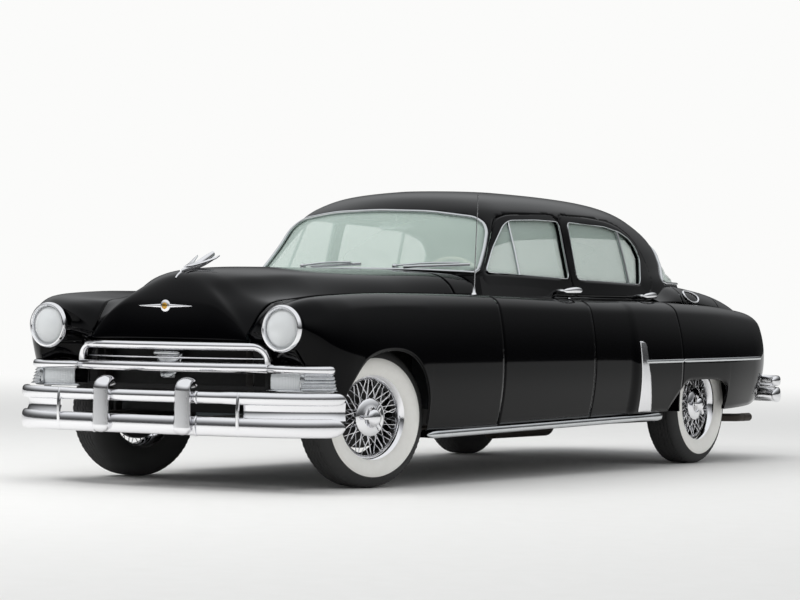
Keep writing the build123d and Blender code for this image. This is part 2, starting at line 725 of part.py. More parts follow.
# Floor with a tunnel over the gearbox and a step up to the rear seat, and the firewall
floor_z = rail_top
floor_half = 800.0
rear_floor_half = 620.0
step_front = 2584.0
step_rear = 2949.0
step_up = kick_top - floor_z
fire_half = 680.0
tunnel_half = 150.0
tunnel_top = 500.0
tunnel_rear = 1330.0
shaft_half = 90.0
shaft_top = 440.0
shaft_rear = 2740.0
floor_line = [(firewall, floor_z), (step_front + 6, floor_z), (step_rear + 6, floor_z + step_up),
              (bulkhead, floor_z + step_up), (bulkhead, floor_z + step_up + plate),
              (step_rear, floor_z + step_up + plate), (step_front, floor_z + plate), (firewall, floor_z + plate)]
floor = side_prism(floor_line, -floor_half, floor_half)
floor = floor - box(rear_floor_half, wide, step_rear, length, 0, high) - box(-wide, -rear_floor_half, step_rear,
                                                                             length, 0, high)
tunnel = box(-tunnel_half, tunnel_half, firewall, tunnel_rear, floor_z, tunnel_top)
tunnel_space = box(plate - tunnel_half, tunnel_half - plate, firewall - plate - 1, tunnel_rear - plate, floor_z - 1,
                   tunnel_top - plate)
shaft_tunnel = box(-shaft_half, shaft_half, tunnel_rear - plate, shaft_rear, floor_z, shaft_top)
shaft_space = box(plate - shaft_half, shaft_half - plate, tunnel_rear - plate - 1, shaft_rear, floor_z - 1,
                  shaft_top - plate)
fire_plate = box(-fire_half, fire_half, firewall - plate, firewall, floor_z, 925)
floor = (floor + tunnel + shaft_tunnel + fire_plate) - tunnel_space - shaft_space
riser = side_prism([(firewall, foot_z(firewall) - sill_drop - sill_h), (2790, foot_z(2790) - sill_drop - sill_h),
                    (2790, floor_z), (firewall, floor_z)], sill_x - plate, sill_x)
floor = floor + riser + right(riser)
save(floor, "floor")

# Engine with its gearbox, one plain block each
engine_half = 200.0
engine_foot = 330.0
engine_top = 850.0
gearbox_half = 120.0
engine = box(-engine_half, engine_half, -150, 650, engine_foot, engine_top)
gearbox = box(-gearbox_half, gearbox_half, 650, 1290, engine_foot - 20, engine_foot + 140)
save(engine + gearbox, "engine")

# Front suspension: cross member, lower wishbones below it and upper ones on towers
beam_half = rail_x
beam_top = engine_foot
beam_foot = lower_arm_z + arm_t
arm_half = 28.0
eye_r = kingpin_r + eye_wall
eye_bore = kingpin_r + running_fit


def wishbone(inner_x, spread, z):
    """One A-shaped arm lying between its inner pivots and the kingpin's eye."""
    outline = plan_prism([(inner_x, -spread), (inner_x + 50, -spread), (kingpin_x, -arm_half), (kingpin_x, arm_half),
                          (inner_x + 50, spread), (inner_x, spread)], z, z + arm_t)
    window = plan_prism([(inner_x + 60, 45 - spread), (inner_x + 60, spread - 45), (kingpin_x - 90, 10),
                         (kingpin_x - 90, -10)], z - 1, z + arm_t + 1)
    eye = Pos(kingpin_x, at(0), z + arm_t / 2) * Cylinder(eye_r, arm_t)
    bore = Pos(kingpin_x, at(0), z + arm_t / 2) * Cylinder(eye_bore, arm_t + 2)
    return (outline - window - box(inner_x + 60, kingpin_x - 90, -2, 2, z - 1, z + arm_t + 1)) + eye - bore


beam = box(-beam_half, beam_half, -90, 90, beam_foot, beam_top)
lower_arm = wishbone(290, 160, lower_arm_z)
upper_arm = wishbone(rail_x + 32, 110, upper_arm_z)
tower = box(rail_x + 10, rail_x + 70, -120, 120, rail_top, upper_arm_z + arm_t)
beam = beam + lower_arm + right(lower_arm)
arch = tower + upper_arm
front_suspension = Compound([*beam.solids(), *arch.solids(), *right(arch).solids()])
save(front_suspension, "front_suspension")

# Steering knuckles: a post between the arms, its kingpin and the wheel's spindle
offset_x = track_front / 2 - kingpin_x
rear_offset = track_rear / 2
spindle_end = hub_face - 6
post_foot = lower_arm_z + arm_t + end_gap
post_top = upper_arm_z - end_gap
post = rod(post_r, (0, 0, post_foot), (0, 0, post_top))
pin = rod(kingpin_r, (0, 0, lower_arm_z), (0, 0, upper_arm_z + arm_t))
spindle = rod(spindle_r, (0, 0, axle_z), (offset_x + spindle_end, 0, axle_z))
knuckle = post + pin + spindle


def parked(shape):
    """A left front piece, straight ahead about its kingpin, steered as it stands and set in place."""
    return Pos(kingpin_x, at(0), 0) * Rot(0, 0, -steer_parked) * shape


def parked_right(shape):
    """The mirror image of a straight left piece, steered the same way round on the right."""
    return Pos(-kingpin_x, at(0), 0) * Rot(0, 0, -steer_parked) * right(shape)


save(parked(knuckle), "knuckle_left")
save(parked_right(knuckle), "knuckle_right")

# Rear axle with its differential, spindles, leaf springs and propeller shaft
axle_tube_r = 40.0
diff_r = 150.0
diff_w = 190.0
shaft_r = 38.0
spring_x = 520.0
spring_w = 50.0
spring_t = 26.0
spring_front = (2750.0, 330.0)
spring_back = (4050.0, 350.0)
axle_end = rear_offset - hub_back - end_gap
tube = bar(axle_tube_r, (-axle_end, wheelbase, axle_z), (axle_end, wheelbase, axle_z))
ends = bar(spindle_r, (-rear_offset - spindle_end, wheelbase, axle_z), (rear_offset + spindle_end, wheelbase, axle_z))
diff = bar(diff_r, (-diff_w / 2, wheelbase, axle_z), (diff_w / 2, wheelbase, axle_z))
shaft = bar(shaft_r, (0, 1292, engine_foot + 55), (0, wheelbase - diff_r + 20, axle_z))
spring_low = axle_z - axle_tube_r - spring_t
mid_aft = wheelbase
under = [Vector(0, at(spring_front[0]), spring_front[1]), Vector(0, at(mid_aft), spring_low),
         Vector(0, at(spring_back[0]), spring_back[1])]
over = [point + Vector(0, 0, spring_t) for point in under]
spring_face = Face(Wire([ThreePointArc(*under), Line(under[2], over[2]), ThreePointArc(*over[::-1]),
                         Line(over[0], under[0])]))
spring = Pos(spring_x - spring_w / 2, 0, 0) * extrude(spring_face, spring_w, dir=(1, 0, 0))
hangers = [bar(14, (rail_x + rail_w, aft, z + spring_t / 2), (spring_x + spring_w / 2 + 6, aft, z + spring_t / 2))
           for aft, z in (spring_front, spring_back)]
rear_axle = tube + ends + diff + shaft
for piece in (spring, *hangers):
    rear_axle = rear_axle + piece + right(piece)
save(rear_axle, "rear_axle")

# Exhaust from the engine's right-hand side to a tailpipe behind the left rear wheel
pipe_r = 25.0
pipe_wall = 5.0
tip_start = 4475.0
tip_lap = 75.0
muffler_r = 62.0
pipe_x = 285.0
pipe_z = 238.0
pipe_route = [(engine_half, 540, 420), (pipe_x, 540, 420), (pipe_x, 880, pipe_z), (pipe_x, 4090, pipe_z),
              (600, 4400, 236), (600, 4495, 236)]
route = FilletPolyline(*[Vector(x, at(aft), z) for x, aft, z in pipe_route], radius=58)
pipe_plane = Plane(origin=route @ 0, z_dir=route % 0)
pipe = sweep(pipe_plane * RegularPolygon(pipe_r, 8), path=route)
tail_x, tail_end, tail_z = pipe_route[-1]
tip = bar(pipe_r, (tail_x, tip_start, tail_z), (tail_x, tail_end + tip_lap, tail_z))
pipe = pipe + tip - bar(pipe_r - pipe_wall, (tail_x, tip_start + 10, tail_z), (tail_x, tail_end + tip_lap + 10, tail_z))
muffler = bar(muffler_r, (pipe_x, 1960, pipe_z - 10), (pipe_x, 2560, pipe_z - 10))
exhaust = pipe + muffler
save(exhaust, "exhaust")

# Fuel tank between the rear rails
tank = box(-rail_x, rail_x, 3850, 4215, tail_foot - 20, tail_foot + 140)
save(fillet(tank.edges().filter_by(Axis.X), 35), "fuel_tank")

# Seats: a soft cushion and back each, on the floor
seat_half = 640.0
rear_seat_half = 612.0
front_seat_line = [(1700, floor_z + plate), (2190, floor_z + plate), (2320, 985), (2290, 1012), (2225, 1005),
                   (2125, 600), (1720, 612), (1672, 585), (1668, 480)]
rear_seat_line = [(2800, floor_z + plate + 93), (step_rear, floor_z + step_up + plate),
                  (bulkhead - 2, floor_z + step_up + plate), (bulkhead - 2, 990), (3262, 1012), (3215, 1000),
                  (3120, 665), (2800, 662), (2762, 640), (2758, 520)]
front_seat = side_prism(front_seat_line, -seat_half, seat_half) - shaft_tunnel
rear_seat = side_prism(rear_seat_line, -rear_seat_half, rear_seat_half)
save(front_seat + rear_seat, "seats")

# Dashboard, and the steering column with its wheel
dash_half = 640.0
dash_face = 1150.0
dash_line = [(940, belt_foot), (940, 1060), (1120, 1052), (dash_face, 1020), (dash_face, belt_foot)]
dash_foot = box(-dash_half + 20, dash_half - 20, firewall, dash_face, 886, belt_foot)
door_reach = 389.0
dash = (side_prism(dash_line, -dash_half, dash_half) & house(roof_wall + 8)) + dash_foot
dash = dash - swing(front_hinge, door_reach) - right(swing(front_hinge, door_reach))
save(dash, "dashboard")
column_x = 380.0
column_foot = (890.0, 760.5)
column_top = (1430.0, 955.0)
steering_r = 215.0
steering_rim = 12.0
column_start = Vector(column_x, at(column_foot[0]), column_foot[1])
column_end = Vector(column_x, at(column_top[0]), column_top[1])
column_axis = column_end - column_start
steering_plane = Plane(column_end, x_dir=(1, 0, 0), z_dir=column_axis)
rim_face = Pos(steering_r, 0, 0) * Rot(90, 0, 0) * RegularPolygon(steering_rim, 8)
rim = steering_plane.location * revolve(rim_face, Axis.Z)
spokes = [rod(9, tuple(column_end), tuple(steering_plane.from_local_coords(Vector(
    (steering_r - 3) * math.cos(math.radians(turn)), (steering_r - 3) * math.sin(math.radians(turn)), 0))))
          for turn in (20, 160, 270)]
column = rod(24, tuple(column_start), tuple(column_end + column_axis.normalized() * 12))
steering = column
for spoke in spokes:
    steering = steering + spoke
steering = (steering + rim) & box(0, wide, firewall, 2000, 0, high)
save(steering, "steering_wheel")

# Tail lamps on the quarters' rear ends
tail_lamp_x = 700.0
tail_lamp_z = 700.0
tail_lamp_r = 48.0
lamp = facing([(-60, 0), (-60, tail_lamp_r + 8), (18, tail_lamp_r + 8), (24, tail_lamp_r), (46, 30), (52, 0)],
              tail_lamp_x, 4400, tail_lamp_z, 1)
tail_lamp = lamp - rear_body()
save(tail_lamp + right(tail_lamp), "tail_lamps")

# Wheels: a tyre, and a wire wheel with its hub, cover, spinner and brake drum
bead_half = rim_w / 2 - rim_wall
bead_r = rim_r - rim_lip
well_r = bead_r - rim_wall
tyre_half = tyre_w / 2
tyre_side = [(bead_half, bead_r), (bead_half, rim_r), (tyre_half, 262), (0.97 * tyre_half, 308),
             (tread_w / 2, 340), (0.36 * tread_w, tyre_r)]
tyre = turned([(-x, radius) for x, radius in tyre_side] + tyre_side[::-1])
rim_half = rim_w / 2
rim_section = turned([(-rim_half, rim_r), (-bead_half, rim_r), (-bead_half, bead_r), (bead_half, bead_r),
                      (bead_half, rim_r), (rim_half, rim_r), (rim_half, well_r), (-rim_half, well_r)])
hub = turned([(-hub_back, 0), (-hub_back, drum_r), (drum_w - hub_back, drum_r), (drum_w - hub_back, hub_r),
              (hub_face, hub_r), (hub_face, cover_r - 4), (hub_face + 3, cover_r), (hub_face + cover_t, cover_r - 8),
              (hub_face + cover_t + 3, cap_r + 6), (hub_face + cover_t + 10, cap_r),
              (hub_face + cap_reach - 10, cap_r - 3), (hub_face + cap_reach, cap_r - 14),
              (hub_face + cap_reach + 3, 0)])
bore = rod(spindle_r + running_fit, (-hub_back - 1, 0, 0), (hub_face - 4, 0, 0))
spinner = [Rot(turn, 0, 0) * Pos(hub_face + cap_reach - 8, 0, (spinner_r + 10) / 2)
           * Box(spinner_w, spinner_w + 5, spinner_r - 10) for turn in (90, 210, 330)]
wheel = rim_section + hub - bore
for arm in spinner:
    wheel = wheel + arm
# foot_x, foot_r, rim_x, lead: the inner row leans one way, the outer row the other
spoke_rows = [(4, 40, 12, 24), (hub_face + 2, 84, 30, -20)]
for foot_x, foot_r, top_x, lead in spoke_rows:
    for i in range(spoke_count):
        foot = math.radians(360 * i / spoke_count)
        top = foot + math.radians(lead)
        start = (foot_x, foot_r * math.cos(foot), foot_r * math.sin(foot))
        end = (top_x, (well_r + 2) * math.cos(top), (well_r + 2) * math.sin(top))
        way = Vector(*end) - Vector(*start)
        wheel = wheel + extrude(Plane(Vector(*start), z_dir=way) * Rectangle(spoke_w, spoke_w), way.length)

front_place = Pos(offset_x, 0, axle_z)
rear_place = Pos(rear_offset, at(wheelbase), axle_z)
for piece, node in ((wheel, "wheel"), (tyre, "tyre")):
    save(parked(front_place * piece), f"{node}_front_left")
    save(parked_right(front_place * piece), f"{node}_front_right")
    save(rear_place * piece, f"{node}_rear_left")
    save(right(rear_place * piece), f"{node}_rear_right")
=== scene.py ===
"""A large black four-door saloon of the early 1950s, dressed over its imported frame.

Sizes in the tables are millimetres. Places are given as (across, aft, up), aft
of the front axle, and put() turns them into metres of the shared frame.
"""

import math

import bmesh
import bpy
import numpy as np
from mathutils import Matrix


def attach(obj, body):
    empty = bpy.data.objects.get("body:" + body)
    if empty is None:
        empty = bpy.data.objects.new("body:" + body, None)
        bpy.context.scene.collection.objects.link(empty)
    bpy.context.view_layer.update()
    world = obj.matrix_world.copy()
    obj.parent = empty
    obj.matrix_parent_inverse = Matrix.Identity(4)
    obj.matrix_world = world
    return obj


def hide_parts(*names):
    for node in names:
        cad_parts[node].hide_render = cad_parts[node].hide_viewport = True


bl_info = {
    "name": "Early 1950s saloon",
    "version": (1, 0, 0),
    "blender": (4, 5, 0),
    "location": "View3D > Sidebar > Saloon",
    "description": "Dresses the packed frame of a four-door saloon in paint, chrome, glass, cloth and rubber",
    "category": "Object",
}

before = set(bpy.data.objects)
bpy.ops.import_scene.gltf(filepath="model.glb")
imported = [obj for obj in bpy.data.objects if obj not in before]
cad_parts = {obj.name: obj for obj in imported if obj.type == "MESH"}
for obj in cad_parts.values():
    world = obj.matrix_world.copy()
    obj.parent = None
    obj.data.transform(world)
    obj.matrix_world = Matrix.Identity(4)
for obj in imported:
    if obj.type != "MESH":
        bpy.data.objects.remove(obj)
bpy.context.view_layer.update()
length, nose_overhang, wheelbase = 5563.0, 889.0, 3391.0
front_axle = nose_overhang - length / 2
axle_up, front_track, rear_track, king_pin = 347.0, 720.0, 757.0, 640.0
proud = 2.5  # how far the painted skins stand off the CAD's faces
shut = 2.5  # half of a gap between two panels
hood_end, cowl_end, middle_post, rear_post, tail = 884, 945, 1928, 2932, 4480
lid_start = 3835
lamp_at, tail_lamp_at = (707, -690, 780), (652, 4432, 700)

# aft, z_foot, x_foot, x_bulge, z_bulge, x_shoulder, z_shoulder, x_top, z_top, z_middle
front_rows = np.array([
    (-690, 690, 770, 828, 770, 795, 852, 705, 886, 830),
    (-640, 600, 800, 866, 740, 832, 862, 715, 906, 845),
    (-560, 480, 850, 905, 700, 870, 874, 735, 924, 860),
    (-400, 380, 890, 938, 680, 900, 888, 760, 938, 880),
    (0, 276, 915, 958, 660, 918, 900, 790, 953, 925),
    (900, 281, 922, 960, 650, 922, 905, 810, 957, 950),
    (2000, 297, 922, 960, 650, 922, 895, 800, 943, 948),
    (3000, 312, 918, 956, 650, 916, 880, 798, 928, 931)], float)
rear_rows = np.array([
    (2418, 300, 936, 972, 650, 924, 895, 803, 941, 945),
    (2900, 308, 936, 974, 650, 922, 888, 800, 934, 937),
    (3500, 315, 925, 968, 650, 912, 874, 795, 917, 922),
    (3950, 330, 885, 935, 640, 884, 852, 768, 890, 896),
    (4250, 380, 800, 852, 640, 812, 812, 710, 852, 858),
    (4400, 430, 690, 735, 640, 705, 775, 610, 815, 822),
    (4480, 500, 560, 600, 640, 575, 740, 490, 780, 788)], float)
# z, x_side, front_middle, x_front_corner, front_corner, x_rear_corner, rear_corner, rear_middle
house_rows = np.array([
    (880, 832, 880, 790, 1030, 650, 3600, 3850),
    (1050, 800, 925, 715, 1098, 615, 3540, 3780),
    (1130, 786, 985, 686, 1165, 600, 3430, 3650),
    (1210, 770, 1045, 662, 1232, 588, 3335, 3560),
    (1330, 745, 1150, 628, 1322, 530, 3250, 3440),
    (1400, 722, 1225, 585, 1390, 475, 3150, 3310),
    (1450, 660, 1300, 520, 1465, 425, 3020, 3150),
    (1490, 560, 1390, 440, 1560, 360, 2800, 2910),
    (1518, 400, 1520, 320, 1680, 270, 2420, 2510),
    (1536, 190, 1720, 150, 1780, 120, 2080, 2120)], float)
# aft, x_edge, z_edge, x_knee, z_knee, z_crown, bend (how full the flank is between knee and edge)
hood_rows = np.array([
    (-690, 458, 721, 290, 850, 872, 0.60),
    (-650, 464, 745, 275, 912, 955, 0.48),
    (-571, 476, 846, 222, 972, 1036, 0.28),
    (-487, 493, 903, 238, 1006, 1060, 0.16),
    (-300, 508, 926, 310, 1028, 1074, 0.28),
    (-90, 522, 943, 370, 1046, 1082, 0.45),
    (500, 610, 960, 440, 1058, 1088, 0.66),
    (950, 705, 961, 560, 1068, 1092, 0.66),
    (1300, 775, 961, 660, 1052, 1085, 0.66)], float)
deck_rows = np.array([
    (2950, 802, 938, 700, 958, 965),
    (3060, 799, 939, 699, 985, 1000),
    (3250, 788, 940, 690, 1032, 1060),
    (3700, 762, 916, 650, 1004, 1048),
    (4000, 735, 892, 610, 965, 1006),
    (4250, 690, 856, 560, 905, 940),
    (4400, 610, 818, 490, 850, 870),
    (4480, 500, 786, 400, 800, 812)], float)

# Outlines as (aft, z), or (x, z) seen from the ends
front_door_line = [(902, 957), (905, 990), (985, 1052), (1110, 1060), (1247, 1200), (1345, 1320),
                   (1413, 1372),
                   (1505, 1396), (1689, 1404), (1879, 1407), (1879, 957)]
rear_door_line = [(1879, 957), (1879, 1407), (2115, 1404), (2465, 1384), (2673, 1346), (2829, 1292),
                  (2923, 1208),
                  (2959, 1130), (2961, 1060), (2913, 1000), (2890, 957)]
front_window = [(1160, 1080), (1888, 1056), (1888, 1368), (1700, 1372), (1490, 1364), (1420, 1332),
                (1288, 1212)]
rear_window = [(1972, 1054), (2775, 1038), (2868, 1190), (2830, 1252), (2760, 1296), (2624, 1332),
               (2400, 1356),
               (1972, 1368)]
blend_rows = np.vstack([front_rows[:7], [[2335, 300, 922, 960, 650, 921, 892, 799, 940, 946]], rear_rows])
rear_arch = [(2790, 200), (2799, 312), (2868, 389), (2968, 475), (3020, 492), (3076, 496), (3325, 497),
             (3476, 484),
             (3545, 452), (3562, 400), (3564, 200)]
front_arch = [(-470, 200), (-455, 455), (-413, 540), (-354, 616), (-293, 653), (-196, 679), (-88, 685),
              (3, 677),
              (95, 647), (174, 582), (228, 483), (253, 383), (262, 200)]
screen_line = [(0, 1092), (400, 1088), (640, 1079), (684, 1076), (690, 1090), (683, 1116), (660, 1208),
               (636, 1300),
               (606, 1340), (545, 1374), (300, 1404), (0, 1412)]
backlight_line = [(0, 1050), (600, 1047), (688, 1048), (694, 1062), (679, 1092), (633, 1150), (606, 1200),
                  (576, 1242),
                  (530, 1276), (470, 1302), (380, 1324), (0, 1342)]
# How far aft the door cuts lean for each mm outwards, below and above the belt, and where they have no lean
low_lean, skin_x = 0.08, 960.0
high_lean, belt_x = 0.27, 660.0


def spread(x, aft, z):
    """Points from three coordinates that are spread over one shape."""
    return np.stack(np.broadcast_arrays(x, aft, z), -1)


def down(first, last, count):
    """Even steps along a grid's first axis."""
    return np.linspace(first, last, count)[:, None]


def over(first, last, count):
    """Even steps along a grid's second axis."""
    return np.linspace(first, last, count)[None]


def columns(rows, places):
    """A table's columns at any places, on cubic curves whose slopes never overshoot the rows."""
    x, v = rows[:, 0], rows[:, 1:]
    h = np.diff(x)[:, None]
    d = np.diff(v, axis=0) / h
    slope = np.vstack([d[:1], np.zeros_like(d[1:]), d[-1:]])
    near, far = 2 * h[1:] + h[:-1], 2 * h[:-1] + h[1:]
    same = d[:-1] * d[1:] > 0
    a, b = np.where(same, d[:-1], 1), np.where(same, d[1:], 1)
    slope[1:-1] = np.where(same, (near + far) / (near / a + far / b), 0)
    places = np.asarray(places, float)
    i = np.clip(np.searchsorted(x, places, side="right") - 1, 0, len(x) - 2)
    s = h[i, 0][..., None]
    t = np.clip((places - x[i]) / h[i, 0], 0, 1)[..., None]
    value = (v[i] * (1 + 2 * t) * (1 - t) ** 2 + s * slope[i] * t * (1 - t) ** 2
             + v[i + 1] * t * t * (3 - 2 * t) + s * slope[i + 1] * t * t * (t - 1))
    return [value[..., k] for k in range(value.shape[-1])]


def circle(a, b, c):
    """Centre, radius, first angle and swept angle of the circle through three plane points."""
    (ax, ay), (bx, by), (cx, cy) = a, b, c
    d = 2 * (ax * (by - cy) + bx * (cy - ay) + cx * (ay - by))
    qa, qb, qc = ax ** 2 + ay ** 2, bx ** 2 + by ** 2, cx ** 2 + cy ** 2
    ux = (qa * (by - cy) + qb * (cy - ay) + qc * (ay - by)) / d
    uy = (qa * (cx - bx) + qb * (ax - cx) + qc * (bx - ax)) / d
    first, mid, last = [np.arctan2(py - uy, px - ux) for px, py in (a, b, c)]

    def turn(angle):
        return (angle + np.pi) % (2 * np.pi) - np.pi

    return ux, uy, np.hypot(ax - ux, ay - uy), first, turn(mid - first) + turn(last - mid)


def along(a, b, c, t):
    """Points on the circle through a, b and c, at even angles as t goes from 0 to 1."""
    ux, uy, r, first, swept = circle(a, b, c)
    return ux + r * np.cos(first + swept * t), uy + r * np.sin(first + swept * t)


def softened(grid, passes=6, axis=1):
    """A grid with its creases eased: each inner point goes halfway to its neighbours' mean, a few times."""
    grid = np.moveaxis(grid, axis, 0).copy()
    for _ in range(passes):
        grid[1:-1] = 0.25 * grid[:-2] + 0.5 * grid[1:-1] + 0.25 * grid[2:]
    return np.moveaxis(grid, 0, axis)


def raised(grid, by, inside=None):
    """A grid moved along its own normals, away from a point inside the car."""
    du, dv = np.gradient(grid, axis=0), np.gradient(grid, axis=1)
    normal = np.cross(du, dv)
    normal /= np.linalg.norm(normal, axis=-1, keepdims=True) + 1e-9
    centre = np.array([0, grid[..., 1].mean(), 600.0]) if inside is None else np.asarray(inside, float)
    sign = np.sign((normal * (grid - centre)).sum())
    return grid + by * sign * normal


def flank(rows, aft, z_low, x_in, lean=0.0, by=proud, z_in=None):
    """The body's side at given stations, as one sheet.

    Each section runs up the side's big circle from z_low to the shoulder, round
    the shoulder's circle to the top, and in along the crown's circle to x_in.
    A leaning cut moves each point aft by its distance out from the skin line.
    """
    aft, z_low, x_in = [np.broadcast_to(np.asarray(v, float), np.shape(aft))[:, None]
                        for v in (aft, z_low, x_in)]
    zf, xf, xb, zb, xs, zs, xt, zt, zm = columns(rows, aft)
    s = over(0, 1, 32)
    z1 = z_low + (zs - z_low) * (1 - (1 - s) ** 1.4)
    ux, uz, r, _, _ = circle((xf, zf), (xb, zb), (xs, zs))
    x1 = ux + np.sqrt(np.maximum(r ** 2 - (z1 - uz) ** 2, 0))
    turn = (xt + 0.72 * (xs - xt), zs + 0.7 * (zt - zs))
    x2, z2 = along((xs, zs), turn, (xt, zt), np.linspace(0, 1, 16)[None, 1:])
    x3 = xt + (np.minimum(x_in, xt - 1) - xt) * np.linspace(0, 1, 15)[None, 1:]
    rise = zm - zt
    rise = np.where(np.abs(rise) < 0.5, 0.5, rise)
    big = (xt ** 2 + rise ** 2) / (2 * np.abs(rise))
    z3 = zm - np.sign(rise) * (big - np.sqrt(big ** 2 - x3 ** 2))
    if z_in is not None:
        z3 = z3 + (np.reshape(z_in, (-1, 1)) - z3[:, -1:]) * np.linspace(0, 1, 15)[None, 1:] ** 2
    x = np.concatenate([x1, x2, x3], 1)
    z = np.concatenate([z1, z2, z3], 1)
    y = np.broadcast_to(aft, x.shape) + lean * (x - skin_x)
    return raised(softened(np.stack([x, y, z], -1)), by)


def house_loop(q, z):
    """The cabin's half outline at a height, on three circles.

    q goes from 0 to 1 round the front, to 2 along the side and to 3 round the back.
    """
    xm, front, xc, fc, xr, rc, rear = columns(house_rows, z)
    x1, y1 = along((-xc, fc), (0 * xc, front), (xc, fc), 0.5 + np.clip(q, 0, 1) / 2)
    x2, y2 = along((xc, fc), (xm, 0.45 * fc + 0.55 * rc), (xr, rc), np.clip(q - 1, 0, 1))
    x3, y3 = along((xr, rc), (0 * xc, rear), (-xr, rc), np.clip(q - 2, 0, 1) / 2)
    x = np.where(q < 1, x1, np.where(q < 2, x2, x3))
    y = np.where(q < 1, y1, np.where(q < 2, y2, y3))
    return spread(x, y, z)


# Heights at which the cabin's outline is worked out
skin_rows = np.linspace(880, 1530, 163)


def cabin_skin():
    """Half the cabin's outline at each height, with its corners eased over a few centimetres."""
    q = np.concatenate([np.linspace(0, 1, 260, endpoint=False), np.linspace(1, 2, 800, endpoint=False),
                        np.linspace(2, 3, 240)])
    skin = house_loop(q[None], skin_rows[:, None])
    wide = np.concatenate([skin[:, 90:0:-1] * (-1, 1, 1), skin, skin[:, -2:-92:-1] * (-1, 1, 1)], 1)
    light = softened(wide, 80, 1)
    upper = skin_rows > 1300
    k = np.clip((skin_rows[upper] - 1300) / 100, 0, 1)[:, None, None]
    k = k * k * (3 - 2 * k)
    light[upper] += k * (softened(wide[upper], 1300, 1) - light[upper])
    return softened(light, 8, 0)[:, 90:-90]


skin_table = cabin_skin()
# The outline read off as distance out by place lengthways, and as place lengthways by distance across
across = np.linspace(0, 860, 173)
lengthways = np.linspace(880, 3880, 601)
side_table = np.stack([np.interp(lengthways, row[:, 1], row[:, 0]) for row in skin_table])
front_table = np.stack([np.interp(across, row[:500, 0], row[:500, 1]) for row in skin_table])
back_table = np.stack([np.interp(across, row[:799:-1, 0], row[:799:-1, 1]) for row in skin_table])


def looked_up(table, places, at, z):
    """A value between the four nearest entries of a table of heights down and places across."""
    at, z = np.broadcast_arrays(np.asarray(at, float), np.asarray(z, float))
    i = np.clip((z - skin_rows[0]) / (skin_rows[1] - skin_rows[0]), 0, len(skin_rows) - 1.001)
    j = np.clip((at - places[0]) / (places[1] - places[0]), 0, len(places) - 1.001)
    i0, j0 = i.astype(int), j.astype(int)
    u, v = i - i0, j - j0
    low = table[i0, j0] * (1 - v) + table[i0, j0 + 1] * v
    high = table[i0 + 1, j0] * (1 - v) + table[i0 + 1, j0 + 1] * v
    return low * (1 - u) + high * u


def house_side(aft, z):
    """How far out the cabin's side is at a place fore and aft and a height."""
    return looked_up(side_table, lengthways, aft, z)


def house_front(x, z):
    """Where the cabin's front lies at a distance across and a height."""
    return looked_up(front_table, across, x, z)


def house_back(x, z):
    """Where the cabin's back lies at a distance across and a height."""
    return looked_up(back_table, across, x, z)


def crown(rows, aft, w):
    """The hood's or deck's section, w from -1 to 1 across.

    Two small circles round the edges, and a wide one between the knees.
    """
    xe, ze, xk, zk, zc, *bend = columns(rows, aft)
    turn = (xk + 0.62 * (xe - xk), ze + (bend[0] if bend else 0.66) * (zk - ze))
    a = np.abs(w)
    x1, z1 = along((xk, zk), turn, (xe, ze), np.clip((a - 0.62) / 0.38, 0, 1))
    x0, z0 = along((-xk, zk), (0 * xk, zc), (xk, zk), 0.5 + np.clip(a / 0.62, 0, 1) / 2)
    x = np.where(a > 0.62, x1, x0) * np.where(w < 0, -1, 1)
    z = np.where(a > 0.62, z1, z0)
    return spread(x, aft, z)


def rounded(points, radius=60.0, sharp_below=0.0):
    """A closed line whose corners are eased by short curves, apart from those below a height."""
    p = np.asarray(points, float)
    back, ahead = np.roll(p, 1, 0) - p, np.roll(p, -1, 0) - p
    lengths = [np.linalg.norm(v, axis=1) for v in (back, ahead)]
    size = np.minimum(np.minimum(*lengths) * 0.46, np.where(p[:, 1] < sharp_below, 1.0, radius))[:, None]
    start, end = p + back / lengths[0][:, None] * size, p + ahead / lengths[1][:, None] * size
    t = np.linspace(0, 1, 9)[None, :, None]
    return (start[:, None] * (1 - t) ** 2 + 2 * p[:, None] * t * (1 - t) + end[:, None] * t ** 2).reshape(-1,
                                                                                                          2)


def reach(points, loop):
    """Signed distance of plane points from a closed line, negative inside it, and the nearest place on it."""
    a, b = loop, np.roll(loop, -1, 0)
    d = b - a
    near = np.empty_like(points)
    least = np.full(len(points), 1e9)
    crossings = np.zeros(len(points), int)
    for start, way, end in zip(a, d, b):
        t = np.clip(((points - start) @ way) / (way @ way + 1e-12), 0, 1)
        on = start + t[:, None] * way
        gap = np.linalg.norm(points - on, axis=1)
        closer = gap < least
        least[closer], near[closer] = gap[closer], on[closer]
        spans = (start[1] > points[:, 1]) != (end[1] > points[:, 1])
        at = start[0] + (points[:, 1] - start[1]) / (end[1] - start[1] if end[1] != start[1]
                                                     else 1e-9) * way[0]
        crossings += spans & (points[:, 0] < at)
    return np.where(crossings % 2 == 1, -least, least), near


def smooth_line(points, passes=2, closed=False):
    """A polyline with its corners cut a quarter of the way in, a few times."""
    p = np.asarray(points, float)
    for _ in range(passes):
        q = np.roll(p, -1, 0) if closed else p[1:]
        a = p if closed else p[:-1]
        mid = np.stack([0.75 * a + 0.25 * q, 0.25 * a + 0.75 * q], 1).reshape(-1, p.shape[1])
        p = mid if closed else np.vstack([p[:1], mid, p[-1:]])
    return p


def even(points, count, closed=False):
    """Points at even distances along a line."""
    p = np.asarray(points, float)
    p = np.vstack([p, p[:1]]) if closed else p
    run = np.concatenate([[0], np.cumsum(np.linalg.norm(np.diff(p, axis=0), axis=1))])
    at = np.linspace(0, run[-1], count, endpoint=not closed)
    return np.stack([np.interp(at, run, p[:, k]) for k in range(p.shape[1])], -1)


